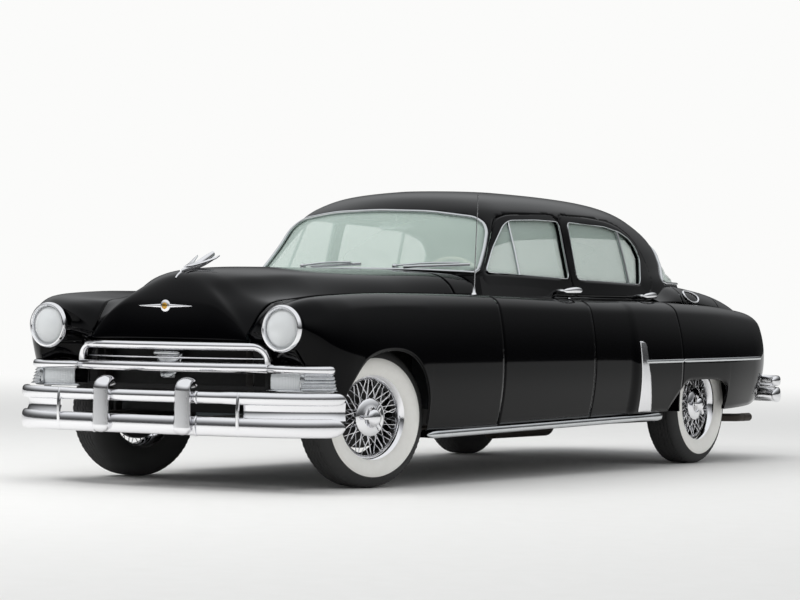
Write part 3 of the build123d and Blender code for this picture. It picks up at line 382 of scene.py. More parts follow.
def by_angle(loop, centre, turns):
    """Where rays at the given angles from a centre meet a closed line."""
    p = even(loop, 900, True) - centre
    angle = np.arctan2(p[:, 1], p[:, 0])
    order = np.argsort(angle)
    rays = np.hypot(p[order, 0], p[order, 1])
    found = np.interp(turns, angle[order], rays, period=2 * np.pi)
    return centre + found[:, None] * np.stack([np.cos(turns), np.sin(turns)], -1)


def sheet(grid, wrap_u=False, wrap_v=False):
    """Vertices and quads of a grid of points."""
    n, m = grid.shape[:2]
    i = np.arange(n if wrap_u else n - 1)[:, None]
    j = np.arange(m if wrap_v else m - 1)[None]
    k, l = (i + 1) % n, (j + 1) % m
    quads = np.stack([i * m + j, k * m + j, k * m + l, i * m + l], -1).reshape(-1, 4)
    return grid.reshape(-1, 3), quads


def joined(*parts):
    """Several (vertices, quads) as one."""
    start, points, quads = 0, [], []
    for v, f in parts:
        points.append(v)
        quads.append(f + start)
        start += len(v)
    return np.vstack(points), np.vstack(quads)


def mirrored(part):
    """A part seen in the car's middle plane."""
    v, f = part
    return v * (-1, 1, 1), f[:, ::-1]


def both(part):
    """A left part with its mirror image."""
    return joined(part, mirrored(part))


def carried(path, profile, up=(0, 0, 1), closed=False, scale=None):
    """A closed profile carried along a path.

    It lies across the path and along the up direction, and its ends are drawn to a point.
    """
    p = np.asarray(path, float)
    step = (np.roll(p, -1, 0) - np.roll(p, 1, 0)) if closed else np.gradient(p, axis=0)
    step /= np.linalg.norm(step, axis=1, keepdims=True) + 1e-9
    up = np.broadcast_to(np.asarray(up, float), p.shape)
    side = np.cross(step, up)
    side /= np.linalg.norm(side, axis=1, keepdims=True) + 1e-9
    top = np.cross(side, step)
    k = np.ones(len(p)) if scale is None else np.asarray(scale, float)
    prof = np.asarray(profile, float)
    grid = (p[:, None] + k[:, None, None]
            * (prof[None, :, :1] * side[:, None] + prof[None, :, 1:] * top[:, None]))
    if not closed:
        grid = np.concatenate([grid[:1].mean(1, keepdims=True).repeat(len(prof), 1), grid,
                               grid[-1:].mean(1, keepdims=True).repeat(len(prof), 1)])
    return sheet(grid, closed, True)


def round_ends(count, points):
    """A scale along a path: one, falling in a quarter circle over some points at either end."""
    k = np.minimum(np.arange(count), np.arange(count)[::-1]) / points
    return np.sqrt(1 - (1 - np.clip(k, 0.02, 1)) ** 2)


def squared(values, power):
    """Values raised to a power with their signs kept: a power under 1 squares a circle."""
    return np.sign(values) * np.abs(values) ** power


def round_the_clock(count):
    """Angles at even steps round a full turn."""
    return np.linspace(0, 2 * np.pi, count, endpoint=False)


def oval(across, high, count=16, power=1.0):
    """A closed oval profile; a power under 1 squares it."""
    t = round_the_clock(count)
    return np.stack([across * squared(np.cos(t), power), high * squared(np.sin(t), power)], -1)


def lathe(points, count=64):
    """(x, radius) points turned about the X axis through the origin."""
    p = np.asarray(points, float)
    t = round_the_clock(count)[:, None]
    grid = np.stack([np.broadcast_to(p[:, 0], (count, len(p))), p[:, 1] * np.cos(t), p[:, 1] * np.sin(t)], -1)
    return sheet(grid, True, False)


def pillow(centre, half, power=(0.5, 0.5), n=40, m=24):
    """A rounded block: the sines and cosines of a sphere's two angles, each raised to a power below one."""
    a = round_the_clock(n)[:, None]
    b = over(-np.pi / 2, np.pi / 2, m)
    girth = squared(np.cos(b), power[1])
    grid = spread(girth * squared(np.cos(a), power[0]), girth * squared(np.sin(a), power[0]),
                  squared(np.sin(b), power[1]))
    return sheet(grid * np.asarray(half, float) + np.asarray(centre, float), True, False)


def rods(starts, ends, radius, sides=6):
    """Straight round rods between two arrays of points, each a ring at either end drawn to its middle."""
    a, b = np.asarray(starts, float), np.asarray(ends, float)
    way = (b - a) / np.linalg.norm(b - a, axis=1, keepdims=True)
    aid = np.where(np.abs(way[:, :1]) > 0.8, [[0, 1.0, 0]], [[1.0, 0, 0]])
    u = np.cross(way, aid)
    u /= np.linalg.norm(u, axis=1, keepdims=True)
    v = np.cross(way, u)
    t = round_the_clock(sides)
    ring = radius * (np.cos(t)[None, :, None] * u[:, None] + np.sin(t)[None, :, None] * v[:, None])
    grid = np.stack([np.broadcast_to(a[:, None], ring.shape), a[:, None] + ring, b[:, None] + ring,
                     np.broadcast_to(b[:, None], ring.shape)], 1)
    return joined(*[sheet(g, False, True) for g in grid])


def moved(part, by=(0, 0, 0), turn=None):
    """A part turned by a matrix and then shifted."""
    v, f = part
    v = v if turn is None else v @ np.asarray(turn).T
    return v + np.asarray(by, float), f


def turned_about(axis, degrees):
    """The matrix that turns about X, Y or Z."""
    return np.array(Matrix.Rotation(math.radians(degrees), 3, axis))


def disc(loop, bulge, rings=14):
    """A closed line filled to its centre and domed: the height is one less the square of the reach."""
    p = np.asarray(loop, float)
    r = np.linspace(1, 0, rings)[:, None, None]
    centre = p.mean(0)
    grid = centre + (p[None] - centre) * r + np.asarray(bulge, float) * (1 - r ** 2)
    return sheet(grid, False, True)


def put(name, part, finish, body, stands_for=(), wall=0.0, lining=None, inside=None, crease=40):
    """Makes the mesh in metres of the shared frame, faces it outwards, and sets it on its body."""
    v, f = part
    v = v * 0.001 + np.array([0, front_axle * 0.001, 0])
    tri = np.vstack([f[:, [0, 1, 2]], f[:, [0, 2, 3]]])
    centre = v.mean(0) if inside is None else np.asarray(inside, float) * 0.001 + (0, front_axle * 0.001, 0)
    a, b, c = [v[tri[:, k]] - centre for k in range(3)]
    if np.einsum("ij,ij->i", a, np.cross(b, c)).sum() < 0:
        f = f[:, ::-1]
    mesh = bpy.data.meshes.new(name)
    mesh.from_pydata(v.tolist(), [], f.tolist())
    work = bmesh.new()
    work.from_mesh(mesh)
    bmesh.ops.remove_doubles(work, verts=work.verts, dist=2e-5)
    bmesh.ops.dissolve_degenerate(work, dist=1e-6, edges=work.edges)
    work.to_mesh(mesh)
    work.free()
    piece = bpy.data.objects.new(name, mesh)
    bpy.context.scene.collection.objects.link(piece)
    for one in (finish, lining or finish):
        mesh.materials.append(bpy.data.materials[one])
    mesh.shade_smooth()
    mesh.set_sharp_from_angle(angle=math.radians(crease))
    if wall:
        skin = piece.modifiers.new("wall", "SOLIDIFY")
        skin.thickness = wall * 0.001
        skin.offset = -1
        skin.use_even_offset = False
        skin.material_offset = 1 if lining else 0
    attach(piece, body)
    if stands_for:
        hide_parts(*stands_for)
    return piece


def linear(colour):
    """A hex colour as linear light."""
    channels = [int(colour[i:i + 2], 16) / 255 for i in (1, 3, 5)]
    return [c / 12.92 if c <= 0.04045 else ((c + 0.055) / 1.055) ** 2.4 for c in channels] + [1.0]


def add(tree, kind, settings, links=()):
    """One node with its settings, by attribute or by input, and its links from other nodes' outputs."""
    node = tree.nodes.new(kind)
    for key, value in settings.items():
        if isinstance(key, str) and hasattr(node, key):
            setattr(node, key, value)
        else:
            node.inputs[key].default_value = value
    for source, output, entry in links:
        tree.links.new(source.outputs[output], node.inputs[entry])
    return node


def finish(name, low, high, rough, metal=0.0, grain=20.0, dent=0.0, pattern="noise", stretch=(1, 1, 1),
           **sockets):
    """A surface whose colour, roughness and fine relief follow one pattern of a real size in millimetres."""
    made = bpy.data.materials.new(name)
    made.use_nodes = True
    tree = made.node_tree
    tree.nodes.clear()
    place = add(tree, "ShaderNodeTexCoord", {})
    mapping = add(tree, "ShaderNodeMapping", {"Scale": stretch}, [(place, "Object", "Vector")])
    if pattern == "noise":
        detail = add(tree, "ShaderNodeTexNoise", {"Scale": 1000 / grain, "Detail": 5.0, "Roughness": 0.6},
                     [(mapping, "Vector", "Vector")])
        value = (detail, "Fac")
    elif pattern == "cells":
        detail = add(tree, "ShaderNodeTexVoronoi", {"Scale": 1000 / grain}, [(mapping, "Vector", "Vector")])
        value = (detail, "Distance")
    else:
        direction = {"ribs_x": "X", "ribs_y": "Y", "ribs_z": "Z"}[pattern]
        detail = add(tree, "ShaderNodeTexWave", {"bands_direction": direction, "Scale": 1000 / (grain * 3.2),
                                                 "Distortion": 0.3}, [(mapping, "Vector", "Vector")])
        value = (detail, "Fac")
    tint = add(tree, "ShaderNodeMix", {"data_type": "RGBA", 6: linear(low), 7: linear(high)}, [(*value, 0)])
    roughness = add(tree, "ShaderNodeMapRange", {"To Min": rough[0], "To Max": rough[1]}, [(*value, "Value")])
    links = [(tint, 2, "Base Color"), (roughness, "Result", "Roughness")]
    if dent:
        relief = add(tree, "ShaderNodeBump", {"Strength": 0.6, "Distance": dent * 0.001},
                     [(*value, "Height")])
        links.append((relief, "Normal", "Normal"))
    names = {"coat": "Coat Weight", "coat_rough": "Coat Roughness", "clear": "Transmission Weight",
             "ior": "IOR",
             "sheen": "Sheen Weight", "gloss": "Specular IOR Level"}
    shader = add(tree, "ShaderNodeBsdfPrincipled",
                 {"Metallic": metal, **{names[k]: v for k, v in sockets.items()}},
                 links)
    add(tree, "ShaderNodeOutputMaterial", {}, [(shader, "BSDF", "Surface")])
    return made


# name, darker colour, lighter colour, roughness, metallic, grain in mm, relief in mm, pattern, sockets
finishes = [
    # Black lacquer under clear coats: deep, wet-looking, with a faint ripple
    ("lacquer", "#010102", "#020203", (0.04, 0.07), 0.0, 900.0, 0.0, "noise", {"gloss": 0.12}),
    # Chromed steel: a bright mirror with slight clouding
    ("chrome", "#d9dcdf", "#eceef0", (0.03, 0.09), 1.0, 160.0, 0.0, "noise", {}),
    # Gilt brass of the badge's centre
    ("gilt", "#b98a35", "#d6a850", (0.15, 0.25), 1.0, 8.0, 0.0, "noise", {}),
    # Stainless trim: a softer mirror
    ("bright_trim", "#c9ccce", "#dfe1e3", (0.10, 0.2), 1.0, 60.0, 0.0, "noise", {}),
    # Die-cast metal in the ribbed grille ends
    ("cast_chrome", "#b9bcc0", "#e2e4e6", (0.08, 0.2), 1.0, 30.0, 0.0, "noise", {}),
    # Black rubber, dull, with a fine skin
    ("tyre_rubber", "#101011", "#1b1b1c", (0.62, 0.85), 0.0, 6.0, 0.12, "noise", {}),
    # White sidewall rubber, slightly chalky
    ("white_rubber", "#eae8e2", "#f5f4f0", (0.45, 0.62), 0.0, 35.0, 0.05, "noise", {}),
    # Black moulded seals
    ("seal_rubber", "#0b0b0c", "#151516", (0.5, 0.7), 0.0, 5.0, 0.05, "noise", {}),
    # Black enamel on the inner panels and the frame, with road dust
    ("frame_enamel", "#0d0d0e", "#24211e", (0.4, 0.75), 0.0, 45.0, 0.2, "noise", {}),
    # Near-black matte: painted shade of the grille opening, on the plate behind the hoop and on a sheet
    # behind the bars
    ("painted_shade_black", "#060606", "#0c0c0d", (0.6, 0.8), 0.0, 25.0, 0.1, "noise", {}),
    # Radiator core: fine black fins
    ("radiator_fins", "#08090a", "#2a2b2d", (0.5, 0.7), 0.3, 4.5, 0.8, "ribs_z", {}),
    # Cast iron painted grey
    ("engine_enamel", "#4a5459", "#5d676b", (0.4, 0.6), 0.0, 30.0, 0.3, "noise", {}),
    # Weathered exhaust steel
    ("exhaust_steel", "#2b2522", "#57504a", (0.45, 0.7), 0.8, 40.0, 0.2, "noise", {}),
    # Grey broadcloth on seats, woven, with a soft sheen
    ("broadcloth", "#6f6d68", "#8b8983", (0.8, 0.95), 0.0, 2.6, 0.35, "cells", {"sheen": 0.5}),
    # Pale napped cloth over the roof's bows
    ("headlining", "#8f8d86", "#a3a199", (0.85, 0.95), 0.0, 3.0, 0.3, "cells", {"sheen": 0.3}),
    # Cut-pile wool carpet
    ("carpet", "#26282b", "#3b3e41", (0.9, 1.0), 0.0, 5.0, 1.2, "noise", {"sheen": 0.3}),
    # Dark leather cloth on the seat bases
    ("piping_hide", "#3c3a37", "#4c4a46", (0.4, 0.55), 0.0, 3.0, 0.1, "noise", {}),
    # Ivory plastic of the steering wheel
    ("ivory_plastic", "#d9d0b8", "#e6dec9", (0.18, 0.3), 0.0, 50.0, 0.0, "noise",
     {"coat": 0.4, "coat_rough": 0.1}),
    # Dark baked enamel on the pressed dashboard
    ("dash_enamel", "#1b1e22", "#23272b", (0.25, 0.38), 0.0, 60.0, 0.0, "noise",
     {"coat": 0.6, "coat_rough": 0.08}),
    # Printed dial cards: pale strokes on black
    ("dial_face", "#16181a", "#d8d8cf", (0.3, 0.4), 0.0, 9.0, 0.0, "ribs_x", {}),
    # Ruby lens of the tail lamps, ribbed inside
    ("ruby_lens", "#7d0a0c", "#b01014", (0.05, 0.12), 0.0, 7.0, 0.8, "ribs_z", {"coat": 1.0, "clear": 0.35}),
    # Lamp glass with flutes
    ("lamp_glass", "#eef2f3", "#ffffff", (0.02, 0.05), 0.0, 11.0, 0.8, "ribs_x", {"clear": 0.88, "ior": 1.3}),
    # Moulded glass of the parking lamps, milky and fluted
    ("parking_glass", "#e2e6e8", "#f6f8f9", (0.05, 0.12), 0.0, 9.0, 0.9, "ribs_x",
     {"clear": 0.35, "ior": 1.45}),
    # Silvered reflector behind the lamp glass
    ("reflector", "#f0f2f3", "#ffffff", (0.08, 0.16), 1.0, 25.0, 0.3, "noise", {}),
    # Safety glass with a light green tint
    ("green_glass", "#86a592", "#92b09e", (0.0, 0.01), 0.0, 400.0, 0.0, "noise", {"clear": 1.0, "ior": 1.45}),
    # Pale studio floor
    ("pale_floor", "#e2e1de", "#e9e8e6", (0.55, 0.7), 0.0, 120.0, 0.0, "noise", {}),
]


class SALOON_sizes(bpy.types.PropertyGroup):
    """Sizes and numbers that a user would change."""
    spokes: bpy.props.IntProperty(name="Spokes", description="Wire spokes in each wheel", default=56, min=24,
                                  max=96)
    spoke_gauge: bpy.props.FloatProperty(name="Spoke gauge",
                                         description="Thickness of one spoke, in millimetres",
                                         default=4.6, min=2.0, max=9.0)
    whitewall: bpy.props.FloatProperty(name="Whitewall",
                                       description="Outer radius of the white sidewall, in mm",
                                       default=292.0, min=230.0, max=320.0)
    steer: bpy.props.FloatProperty(name="Parked steer",
                                   description="How far the front wheels are turned as parked",
                                   default=math.radians(16), subtype="ANGLE")
    aerial: bpy.props.FloatProperty(name="Aerial", description="Height of the aerial's tip, in mm",
                                    default=1482.0)


class SALOON_studio(bpy.types.PropertyGroup):
    """Light and camera."""
    daylight: bpy.props.FloatProperty(name="Ambient light", description="Strength of the even light",
                                      default=0.85)
    key: bpy.props.FloatProperty(name="Key light", description="Power of the main soft lamp", default=330.0,
                                 unit="POWER")
    lens: bpy.props.FloatProperty(name="Lens", description="Focal length in mm on a 36 mm sensor",
                                  default=135.0)


def foot_line(aft):
    """The height of the doors' lower edge, which rises towards the rear."""
    return 276.0 + 0.0145 * aft


def on_side(points, by=proud):
    """(aft, z) points set on the cabin's side and raised from it."""
    p = np.asarray(points, float)
    x = house_side(p[..., 0], p[..., 1])
    return np.stack([x + by, p[..., 0], p[..., 1]], -1)


def on_flank(rows, aft, z, by=proud):
    """(aft, z) places set on the lower body's side circle and raised from it."""
    zf, xf, xb, zb, xs, zs, _, _, _ = columns(rows, aft)
    ux, uz, r, _, _ = circle((xf, zf), (xb, zb), (xs, zs))
    return spread(ux + np.sqrt(np.maximum(r ** 2 - (z - uz) ** 2, 0)) + by, aft, z)


class SALOON_OT_finishes(bpy.types.Operator):
    """Makes every material"""
    bl_idname = "saloon.finishes"
    bl_label = "Finishes"

    def execute(self, context):
        for name, low, high, rough, metal, grain, dent, pattern, sockets in finishes:
            finish(name, low, high, rough, metal, grain, dent, pattern, **sockets)
        kept = {
            "frame_enamel": ["chassis", "front_suspension", "rear_axle", "knuckle_left", "knuckle_right",
                             "fuel_tank"],
            "lacquer": ["hood", "cowl", "front_fenders", "rear_quarters", "deck_panel", "trunk_lid",
                        "cabin_sides",
                        "door_front_left", "door_front_right", "door_rear_left", "door_rear_right"],
            "engine_enamel": ["engine"], "exhaust_steel": ["exhaust"], "carpet": ["floor"],
            # The grille shell plate takes the near-black painted shade of the grille opening
            "painted_shade_black": ["grille_shell"], "radiator_fins": ["radiator"],
        }
        for material, nodes in kept.items():
            for node in nodes:
                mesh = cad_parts[node].data
                mesh.materials.clear()
                mesh.materials.append(bpy.data.materials[material])
        return {"FINISHED"}


def arch_line(arch):
    """A wheel arch's outline as a smooth line whose aft values grow."""
    line = smooth_line(arch, 2)
    return line[np.argsort(line[:, 0])]


class SALOON_OT_front(bpy.types.Operator):
    """Front fenders, hood and cowl"""
    bl_idname = "saloon.front"
    bl_label = "Front end panels"

    def execute(self, context):
        arch = arch_line(front_arch)
        aft = np.unique(np.concatenate([np.linspace(-690, cowl_end - shut, 96), arch[:, 0],
                                        [arch[0, 0] - 0.5, arch[-1, 0] + 0.5]]))
        foot = columns(front_rows, aft)[0]
        low = np.where((aft >= arch[0, 0]) & (aft <= arch[-1, 0]),
                       np.maximum(foot, np.interp(aft, arch[:, 0], arch[:, 1])), foot)
        back = 46 * np.clip((-430 - aft) / 260, 0, 1)
        hood_edge = columns(hood_rows, aft + back)
        seam = np.maximum(hood_edge[0], 462) + 5
        skin = flank(front_rows, aft, low, seam, z_in=np.maximum(hood_edge[1] - 2, 721))
        near = np.clip((650 - skin[..., 0]) / 160, 0, 1)
        skin[..., 1] += back[:, None] * near * near * (3 - 2 * near)
        inner = np.array([[470.0, -612, 706], [520, -598, 703], [565, -586, 700], [620, -632, 695],
                          [690, -688, 690]])
        loop = np.vstack([skin[0], inner])
        fender = joined(sheet(skin), disc(loop, (0, -14, 0)))
        z = down(694, 490, 24)
        s = over(0, 1, 30)
        x1, a1 = np.interp(z, [480, 600, 690], [852, 802, 772]), np.interp(z, [480, 600, 690],
                                                                           [-560, -640, -690])
        x = 470 + (x1 - 470) * s
        high = np.interp(x, [470, 565, 620, 690, 772], [-612, -586, -632, -688, -690])
        low_down = -600 + 20 * np.sin(np.pi * s) + (a1 + 600) * s ** 2
        k = np.clip((700 - z) / 110, 0, 1)
        panel = spread(x, high + (low_down - high) * k, z)
        put("fender_skins", both(joined(fender, sheet(panel))), "lacquer", "car", ["front_fenders"], wall=2.0,
            inside=(0, 200, 500))
        walk = skin[aft > -640][:, -1]
        inner = np.stack([walk, walk * (1, 1, 0) + (-8, 0, 722), walk * (0, 1, 0) + (440, 0, 716),
                          walk * (0, 1, 0) + (430, 0, 700), walk * (0, 1, 0) + (430, 0, 470)], 1)
        put("front_aprons", both(sheet(inner)), "frame_enamel", "car", wall=-2.0, inside=(0, 200, 300))
        lip = arch[(arch[:, 1] > 285)]
        rim = on_flank(front_rows, lip[:, 0], lip[:, 1], -4)
        put("front_arch_lips", both(carried(rim, oval(7, 4), up=(1, 0, 0))), "lacquer", "car")

        w = np.sin(np.linspace(-np.pi / 2, np.pi / 2, 101)) * 0.5 + np.linspace(-0.5, 0.5, 101)
        nose = -668 + 18 * w[None] ** 2
        aft = nose + (hood_end - nose) * down(0, 1, 110) ** 1.15
        top = softened(crown(hood_rows, aft, w[None]), 10)
        s = np.linspace(1, 0, 26, endpoint=False)[:, None]
        lean_out = 3 + 25 * (1 - w[None] ** 2)
        face = spread(top[:1, :, 0], top[:1, :, 1] - lean_out * (1 - (1 - s) ** 2),
                      top[:1, :, 2] + (721 - top[:1, :, 2]) * s)
        top = raised(softened(np.concatenate([face, top]), 3, 0), proud)
        put("hood_skin", sheet(top), "lacquer", "hood", ["hood"], wall=3.0, lining="frame_enamel",
            inside=(0, 200, 500))
        picked = top[:60, np.abs(top[26, :, 0]) < 165]
        line = np.array([[np.interp(882, c[:, 2], c[:, 0]), np.interp(882, c[:, 2], c[:, 1]) - 5, 882]
                         for c in
                         np.moveaxis(picked, 1, 0)])
        line = even(line, 60)
        bar = carried(line, oval(5, 9, 14), scale=(1.15 - np.abs(np.linspace(-1, 1, 60))) * round_ends(60, 2))
        at = line[30]
        put("hood_badge", joined(bar, pillow(at, (30, 9, 30), (1, 1), 32, 16)), "chrome", "hood")
        put("hood_badge_centre", pillow(at + (0, -6, 0), (17, 6, 17), (1, 1), 32, 16), "gilt", "hood")

        v = down(0, 1, 26)
        w = w[None]
        last = np.full_like(w, 1100.0)
        for _ in range(8):
            point = crown(hood_rows, last, w)
            limit = np.where(np.abs(point[..., 0]) < 735, house_front(np.abs(point[..., 0]), point[..., 2]),
                             1120)
            last = 0.5 * last + 0.5 * np.clip(limit, 900, 1110)
        aft = 889 + v * (last + 4 - 889)
        put("cowl_skin", sheet(raised(softened(crown(hood_rows, aft, w + 0 * v), 4), proud)), "lacquer",
            "car", wall=2.0,
            inside=(0, 1000, 500))
        return {"FINISHED"}


def door_skins(side, place, line, window, rows_parts):
    """One door's painted skin, bright reveal and pane.

    The lower skin comes from one or two runs of the body's sections. The window
    frame is a ring between two outlines, each blended from the inner to the outer.
    """
    body = f"door_{place}_{side}"
    flip = mirrored if side == "right" else (lambda part: part)
    sheets = []
    for rows, a0, a1 in rows_parts:
        aft = np.linspace(a0, a1, 42)
        low = foot_line(aft) + shut
        if place == "rear":
            arch = arch_line(rear_arch)
            low = np.maximum(low, np.interp(aft, arch[:, 0], arch[:, 1], left=0))
        sheets.append(flank(rows, aft, low, np.full_like(aft, 772.0), low_lean))
    lower = sheet(np.concatenate(sheets))
    turns = np.linspace(-np.pi, np.pi, 220, endpoint=False)
    centre = np.mean(window, axis=0)
    outer = by_angle(rounded(line, 70, 965), centre, turns)
    inner = by_angle(rounded(window, 34), centre, turns)
    mid = outer.mean(0)
    outer = mid + (outer - mid) * (1 - shut
                                   / np.maximum(np.linalg.norm(outer - mid, axis=1, keepdims=True), 1))
    r = np.linspace(0, 1, 7)[:, None, None]
    ring = inner[None] * (1 - r) + outer[None] * r
    ring = on_side(ring)
    weight = down(0, 1, 7)
    ring[..., 1] += weight * high_lean * (ring[..., 0] - belt_x)
    put(f"{body}_skin", flip(joined(lower, sheet(ring, False, True))), "lacquer", body, wall=2.5,
        inside=(0, np.mean([p[0] for p in line]), 600))
    trim = on_side(rounded(window, 34), 2.5)
    reveal = carried(even(trim, 180, True), oval(2.4, 5, 12, 0.8), up=(1, 0, 0), closed=True)
    put(f"{body}_reveal", flip(reveal), "bright_trim", body)
    r = np.linspace(1.01, 0, 8)[:, None, None]
    pane = on_side(centre + (inner[None] - centre) * r, -20.0)
    put(f"{body}_pane", flip(sheet(pane, False, True)), "green_glass", body, [f"glass_{place}_{side}"],
        wall=4.5,
        inside=(0, centre[0], centre[1]))
    return body, flip


class SALOON_OT_doors(bpy.types.Operator):
    """Four doors: skins, window frames, panes, handles, strips and inner cards"""
    bl_idname = "saloon.doors"
    bl_label = "Doors"

    def execute(self, context):
        for side in ("left", "right"):
            front_parts = [(front_rows, cowl_end + shut, middle_post - shut)]
            rear_parts = [(blend_rows, middle_post + shut, 2330), (blend_rows, 2334, rear_post - shut)]
            body, flip = door_skins(side, "front", front_door_line, front_window, front_parts)
            vent = on_side(np.array([(1440, 1066), (1464, 1200), (1488, 1360)]), -8)
            put(f"{body}_divider", flip(carried(even(vent, 12), oval(5, 9, 10), up=(1, 0, 0))), "bright_trim",
                body)
            self.handle(body, flip, 1722, 1918, 1006)
            key = on_side(np.array([[1850.0, 958.0]]), 0)[0]
            put(f"{body}_lock",
                flip(moved(lathe([(0, 0), (0, 13), (4, 12), (6, 6), (6.5, 0)], 24), key + (4, 0, -16))),
                "chrome", body)
            self.card(body, flip, 1010, 1880)
            body, flip = door_skins(side, "rear", rear_door_line, rear_window, rear_parts)
            post = on_side(np.array([(2622, 1046), (2612, 1180), (2600, 1334)]), -6)
            put(f"{body}_divider", flip(carried(even(post, 12), oval(8, 10, 10), up=(1, 0, 0))),
                "bright_trim", body)
            self.handle(body, flip, 2680, 2890, 988)
            self.card(body, flip, 1990, 2760)
            aft = np.linspace(2486, 2928, 40)
            strip = on_flank(rear_rows, aft, 603.7 + (aft - 2486) * 0.0063, 3)
            put(f"{body}_strip", flip(carried(strip, oval(6, 10.5, 12, 0.8), up=(0, 0, 1))), "bright_trim",
                body)
            self.shield(body, flip)
        return {"FINISHED"}

    def handle(self, body, flip, first, last, z):
        """A pull handle: a tapering bar with its two posts."""
        t = np.linspace(0, 1, 30)
        aft = first + (last - first) * t
        seat = house_side(aft, np.full_like(aft, z - 18))
        lift = 26 * np.sin(np.pi * np.clip(t * 1.08, 0, 1)) ** 0.4 + 6
        path = np.stack([seat + lift + 40, aft, z - 18 + 6 * np.sin(np.pi * t)], -1)
        bar = carried(path, oval(10, 15, 18, 0.9), scale=(0.75 + 0.4 * np.sin(np.pi * t)) * round_ends(30, 3))
        ends = [pillow((seat[k] + 22, aft[k], z - 18), (32, 14, 11), (0.8, 0.8), 20, 12) for k in (2, 26)]
        put(f"{body}_handle", flip(joined(bar, *ends)), "chrome", body)

    def card(self, body, flip, first, last):
        """The cloth card inside the door with its pleats, armrest and small handles."""
        aft = down(first, last, 24)
        z = over(foot_line(first) + 95, 930, 56)
        wave = 2.5 * np.abs(np.sin((z - 560) / 300 * np.pi * 5)) * ((z > 560) & (z < 860))
        flat = on_flank(front_rows, aft, z, -67)[..., 0]
        face = spread(np.minimum(flat, flat.min() + 41) - wave, aft, z)
        put(f"{body}_card", flip(sheet(face)), "broadcloth", body, wall=-3.0, inside=(2000, first, 600))
        x = float(face[12, 28, 0])
        mid = (first + last) / 2
        rest = pillow((x - 28, mid + 60, 690), (34, 150, 26), (0.5, 0.5), 36, 20)
        put(f"{body}_armrest", flip(rest), "broadcloth", body)
        crank = joined(moved(lathe([(0, 0), (0, 24), (8, 20), (12, 0)], 24), (x - 14, mid - 190, 640)),
                       pillow((x - 18, mid - 150, 640), (6, 52, 8), (0.6, 0.6), 20, 10),
                       pillow((x - 28, mid - 104, 640), (14, 11, 11), (0.9, 0.9), 16, 10))
        put(f"{body}_crank", flip(crank), "chrome", body)

    def shield(self, body, flip):
        """The bright guard on the rear fender's leading edge: narrow at its top, widest low down."""
        z = down(322, 718, 44)
        t = (z - 322) / 396
        width = 70 + 112 * (1 - t) ** 1.3
        width = width * np.sqrt(1 - 0.85 * np.clip((z - 694) / 24, 0, 1) ** 2)
        u = over(0, 1, 12)
        aft = 2421 + 22 * (1 - t) * (1 - u) + width * u
        face = on_flank(rear_rows, aft, z, 5.0)
        face[:, 0, 0] -= 10
        put(f"{body}_shield", flip(sheet(face)), "chrome", body, wall=2.0, inside=(0, 2500, 500))


class SALOON_OT_rear(bpy.types.Operator):
    """Rear quarters, deck and trunk lid"""
    bl_idname = "saloon.rear"
    bl_label = "Rear panels"

    def execute(self, context):
        arch = arch_line(rear_arch)
        aft = np.unique(np.concatenate([np.linspace(rear_post + shut, tail, 104), arch[arch[:, 0] > 2935, 0],
                                        [arch[-1, 0] + 0.5]]))
        foot = columns(rear_rows, aft)[0]
        low = np.where(aft <= arch[-1, 0], np.maximum(foot, np.interp(aft, arch[:, 0], arch[:, 1])), foot)
        seam = np.where(aft < 3250, 776, columns(deck_rows, aft)[0] - 4)
        skin = flank(rear_rows, aft, low, seam)
        put("quarter_skins", both(sheet(skin)), "lacquer", "car", wall=2.0, inside=(0, 3600, 500))
        half = skin[-1]
        loop = np.vstack([half, half[::-1] * (-1, 1, 1)])
        put("tail_skin", disc(loop, (0, 34, 0), 14), "lacquer", "car", wall=2.0, inside=(0, 3600, 500))

        aft = down(3290, lid_start - 1, 32)
        w = over(-1, 1, 91)
        top = raised(softened(crown(deck_rows, aft, w), 4), proud)
        aft = down(lid_start - 9, tail, 50)
        half = over(0, 1, 200)
        fine = crown(deck_rows, aft, half)
        lid_edge = np.interp(aft[:, 0], [3835, 4100, 4470], [560, 560, 480]) - 12
        inner = np.array([np.interp(x, row[:, 0], half[0]) for x, row in zip(lid_edge, fine)])[:, None]
        w = inner + (1 - inner) * over(0, 1, 22)
        borders = raised(softened(crown(deck_rows, aft, w), 2), proud, (0, 3900, 500))
        aft = down(2958, 3290, 24)
        w = over(0.66, 1, 18)
        sides = raised(softened(crown(deck_rows, aft, w), 2), proud, (0, 3100, 600))
        put("deck_skin", joined(sheet(top), both(joined(sheet(sides), sheet(borders)))), "lacquer", "car",
            wall=2.0, inside=(0, 3600, 500))
        u = over(-1, 1, 60)
        aft = down(lid_start + shut, tail - 2, 50)
        half_width = np.interp(aft, [3835, 4100, 4470], [560, 560, 480]) - shut
        x = half_width * u
        fine = crown(deck_rows, aft, half)
        z = np.stack([np.interp(np.abs(x[k]), fine[k, :, 0], fine[k, :, 2]) for k in range(len(x))])
        grid = spread(x, aft, z)
        put("lid_skin", sheet(raised(grid, proud + 1.5)), "lacquer", "trunk_lid", wall=2.0,
            inside=(0, 3900, 500))
        return {"FINISHED"}


